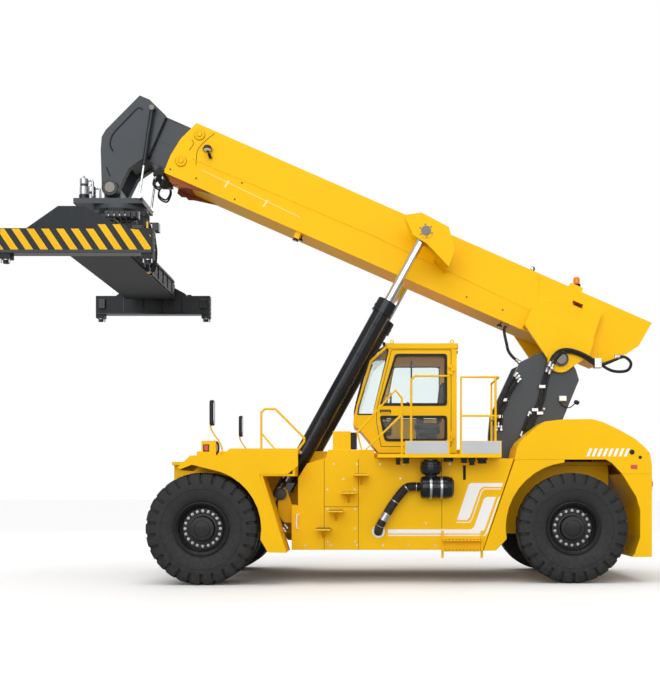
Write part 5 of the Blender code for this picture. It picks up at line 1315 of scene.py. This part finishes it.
def slanting_bands(tree):
    """Yellow where the fraction of (x + slant * z) / pitch is below 0.52, and grey elsewhere."""
    place = wired(tree, "SeparateXYZ", {0: wired(tree, "TexCoord").outputs["Object"]}).outputs
    slant = wired(tree, "Math", {0: place["Z"], 1: STRIPE_SLANT, 2: place["X"]}, operation="MULTIPLY_ADD")
    count = wired(tree, "Math", {0: slant.outputs[0], 1: STRIPE_PITCH}, operation="DIVIDE")
    part = wired(tree, "Math", {0: count.outputs[0]}, operation="FRACT")
    band = wired(tree, "Math", {0: part.outputs[0], 1: 0.52}, operation="LESS_THAN")
    colours = {"Factor": band.outputs[0], "A": (*DARK_GREY, 1), "B": (*YELLOW, 1)}
    return wired(tree, "Mix", colours, data_type="RGBA").outputs["Result"]


warning = finish_of("warning_stripes", slanting_bands, gloss=0.4, mottle=0.15, dust=0.15, shine=0.15)
BEAM_Y = -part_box("spreader_beam_left")[0].y
CORNER_X, CORNER_Y = 2.259 / 2, 5.853 / 2  # a twenty foot container's corner castings
for sign, side in ((-1, "left"), (1, "right")):
    body = "beam_" + side
    face = side_of(sign, BEAM_Y)
    board = [(X_MID - 1.19, 5.40), (X_MID + 1.19, 5.40), (X_MID + 1.19, 5.62), (X_MID + 1.10, 5.70),
             (X_MID + 0.85, 5.73), (X_MID + 0.78, 5.80), (X_MID + 0.33, 5.80), (X_MID + 0.30, 5.73),
             (X_MID - 1.19, 5.73)]
    piece("warning_board_" + side, [flat_piece(board, 0, 0.004, face)], warning, body, "yellow_paint")
    trims, locks = [], []
    trims.append(block((X_MID - 1.21, sign * 2.80, 5.345), (X_MID + 1.21, sign * 3.05, 5.372), 0.004))
    trims.append(block((X_MID - 1.21, sign * 3.03 - 0.012, 5.37),
                       (X_MID + 1.21, sign * 3.03 + 0.012, 5.398), 0.003))
    for x in (-0.62, -0.2, 0.2, 0.62):
        trims.append(block((X_MID + x - 0.012, sign * 2.815, 5.38), (X_MID + x + 0.012, sign * 2.83, 5.73),
                           0.003))
    for end in (-1, 1):
        corner = np.array([SLEW_X + end * CORNER_X, sign * CORNER_Y, 0])
        trims.append(turned([(0.085, 5.30), (0.085, 5.335), (0.075, 5.34)], corner, Z, 32))
        locks.append(turned([(0.030, 5.24), (0.056, 5.25), (0.056, 5.275), (0.030, 5.30), (0.030, 5.33)],
                            corner, Z, 24))
        for x in (0.066, -0.066):
            locks.append(turned([(0.010, 5.20), (0.014, 5.205), (0.014, 5.34)],
                                corner + [x, 0.045 * sign, 0], Z, 12))
        for z in (5.42, 5.52, 5.62, 5.70):
            locks += hex_heads([np.array([SLEW_X + end * 1.221, sign * 2.90, z])], (end, 0, 0), 0.012, 0.012)
        trims.append(block((X_MID + end * 1.08 - 0.07, sign * 2.77, 5.46),
                           (X_MID + end * 1.08 + 0.07, sign * 2.826, 5.66), 0.008))
    piece("beam_trims_" + side, trims, black_enamel, body, "black_paint")
    piece("twistlocks_" + side, locks, zinc, body, "chrome")
rails = []
for end in (-1, 1):
    x = X_MID + end * 0.512
    for z in (5.66, 5.95):
        rails.append(block((x, -2.50, z), (x + end * 0.02, 2.50, z + 0.03), 0.004))
    for y in np.arange(-2.3, 2.4, 0.46):
        rails.append(block((x, y - 0.015, 5.69), (x + end * 0.012, y + 0.015, 5.95), 0.002))
piece("spreader_rails", rails, spreader_enamel, "spreader", "grey_paint")


# ------------------------------------------------------------------ rear: lights, hood knobs and weight
# The cast counterweight is bolted up behind the frame. Lights, reflectors and the hood's rubber stops are
# screwed on, and louvres let the cooler's air out at the back.

reds, ambers, blacks = [], [], []
TAIL = WHEELBASE + 1.395
for sign in (-1, 1):
    face = side_of(sign, BODY_Y)
    reds.append(flat_piece(oblong(7.33, 1.96, 7.44, 2.03), 0, 0.008, face, 0.003))
    blacks.append(turned([(0.045, 0.0), (0.04, 0.015), (0.02, 0.02)], spot(7.35, sign * BODY_Y, 2.25),
                         sign * Y, 20))
    blacks.append(turned([(0.03, 0.0), (0.026, 0.012), (0.01, 0.016)], spot(7.49, sign * BODY_Y, 2.16),
                         sign * Y, 20))
    blacks.append(block((TAIL - 0.002, sign * 1.16, 1.60), (TAIL + 0.02, sign * 1.44, 1.80), 0.006))
    reds.append(turned([(0.055, 0.0), (0.055, 0.02), (0.02, 0.03)], spot(TAIL + 0.018, sign * 1.24, 1.70),
                       X, 28))
    ambers.append(turned([(0.05, 0.0), (0.05, 0.02), (0.02, 0.03)], spot(TAIL + 0.018, sign * 1.37, 1.70),
                         X, 28))
for z in np.arange(0.62, 1.45, 0.09):
    blacks.append(block((TAIL - 0.001, -0.55, z), (TAIL + 0.012, 0.55, z + 0.03), 0.004))
piece("rear_reds", reds, red_lens, "machine", "plastic")
piece("rear_ambers", ambers, amber_lens, "machine", "plastic")
piece("rear_blacks", blacks, black_plastic, "machine", "plastic")
lifting = []
for sign in (-1, 1):
    lifting += hex_heads([spot(TAIL, sign * y, z) for y in (0.80, 1.05) for z in (0.75, 1.45)], X, 0.035,
                         0.03)
piece("weight_bolts", lifting, zinc, "machine", "chrome")

size = {"cad": [list(cad_low), list(cad_high)], "visual": [list(v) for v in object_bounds()]}
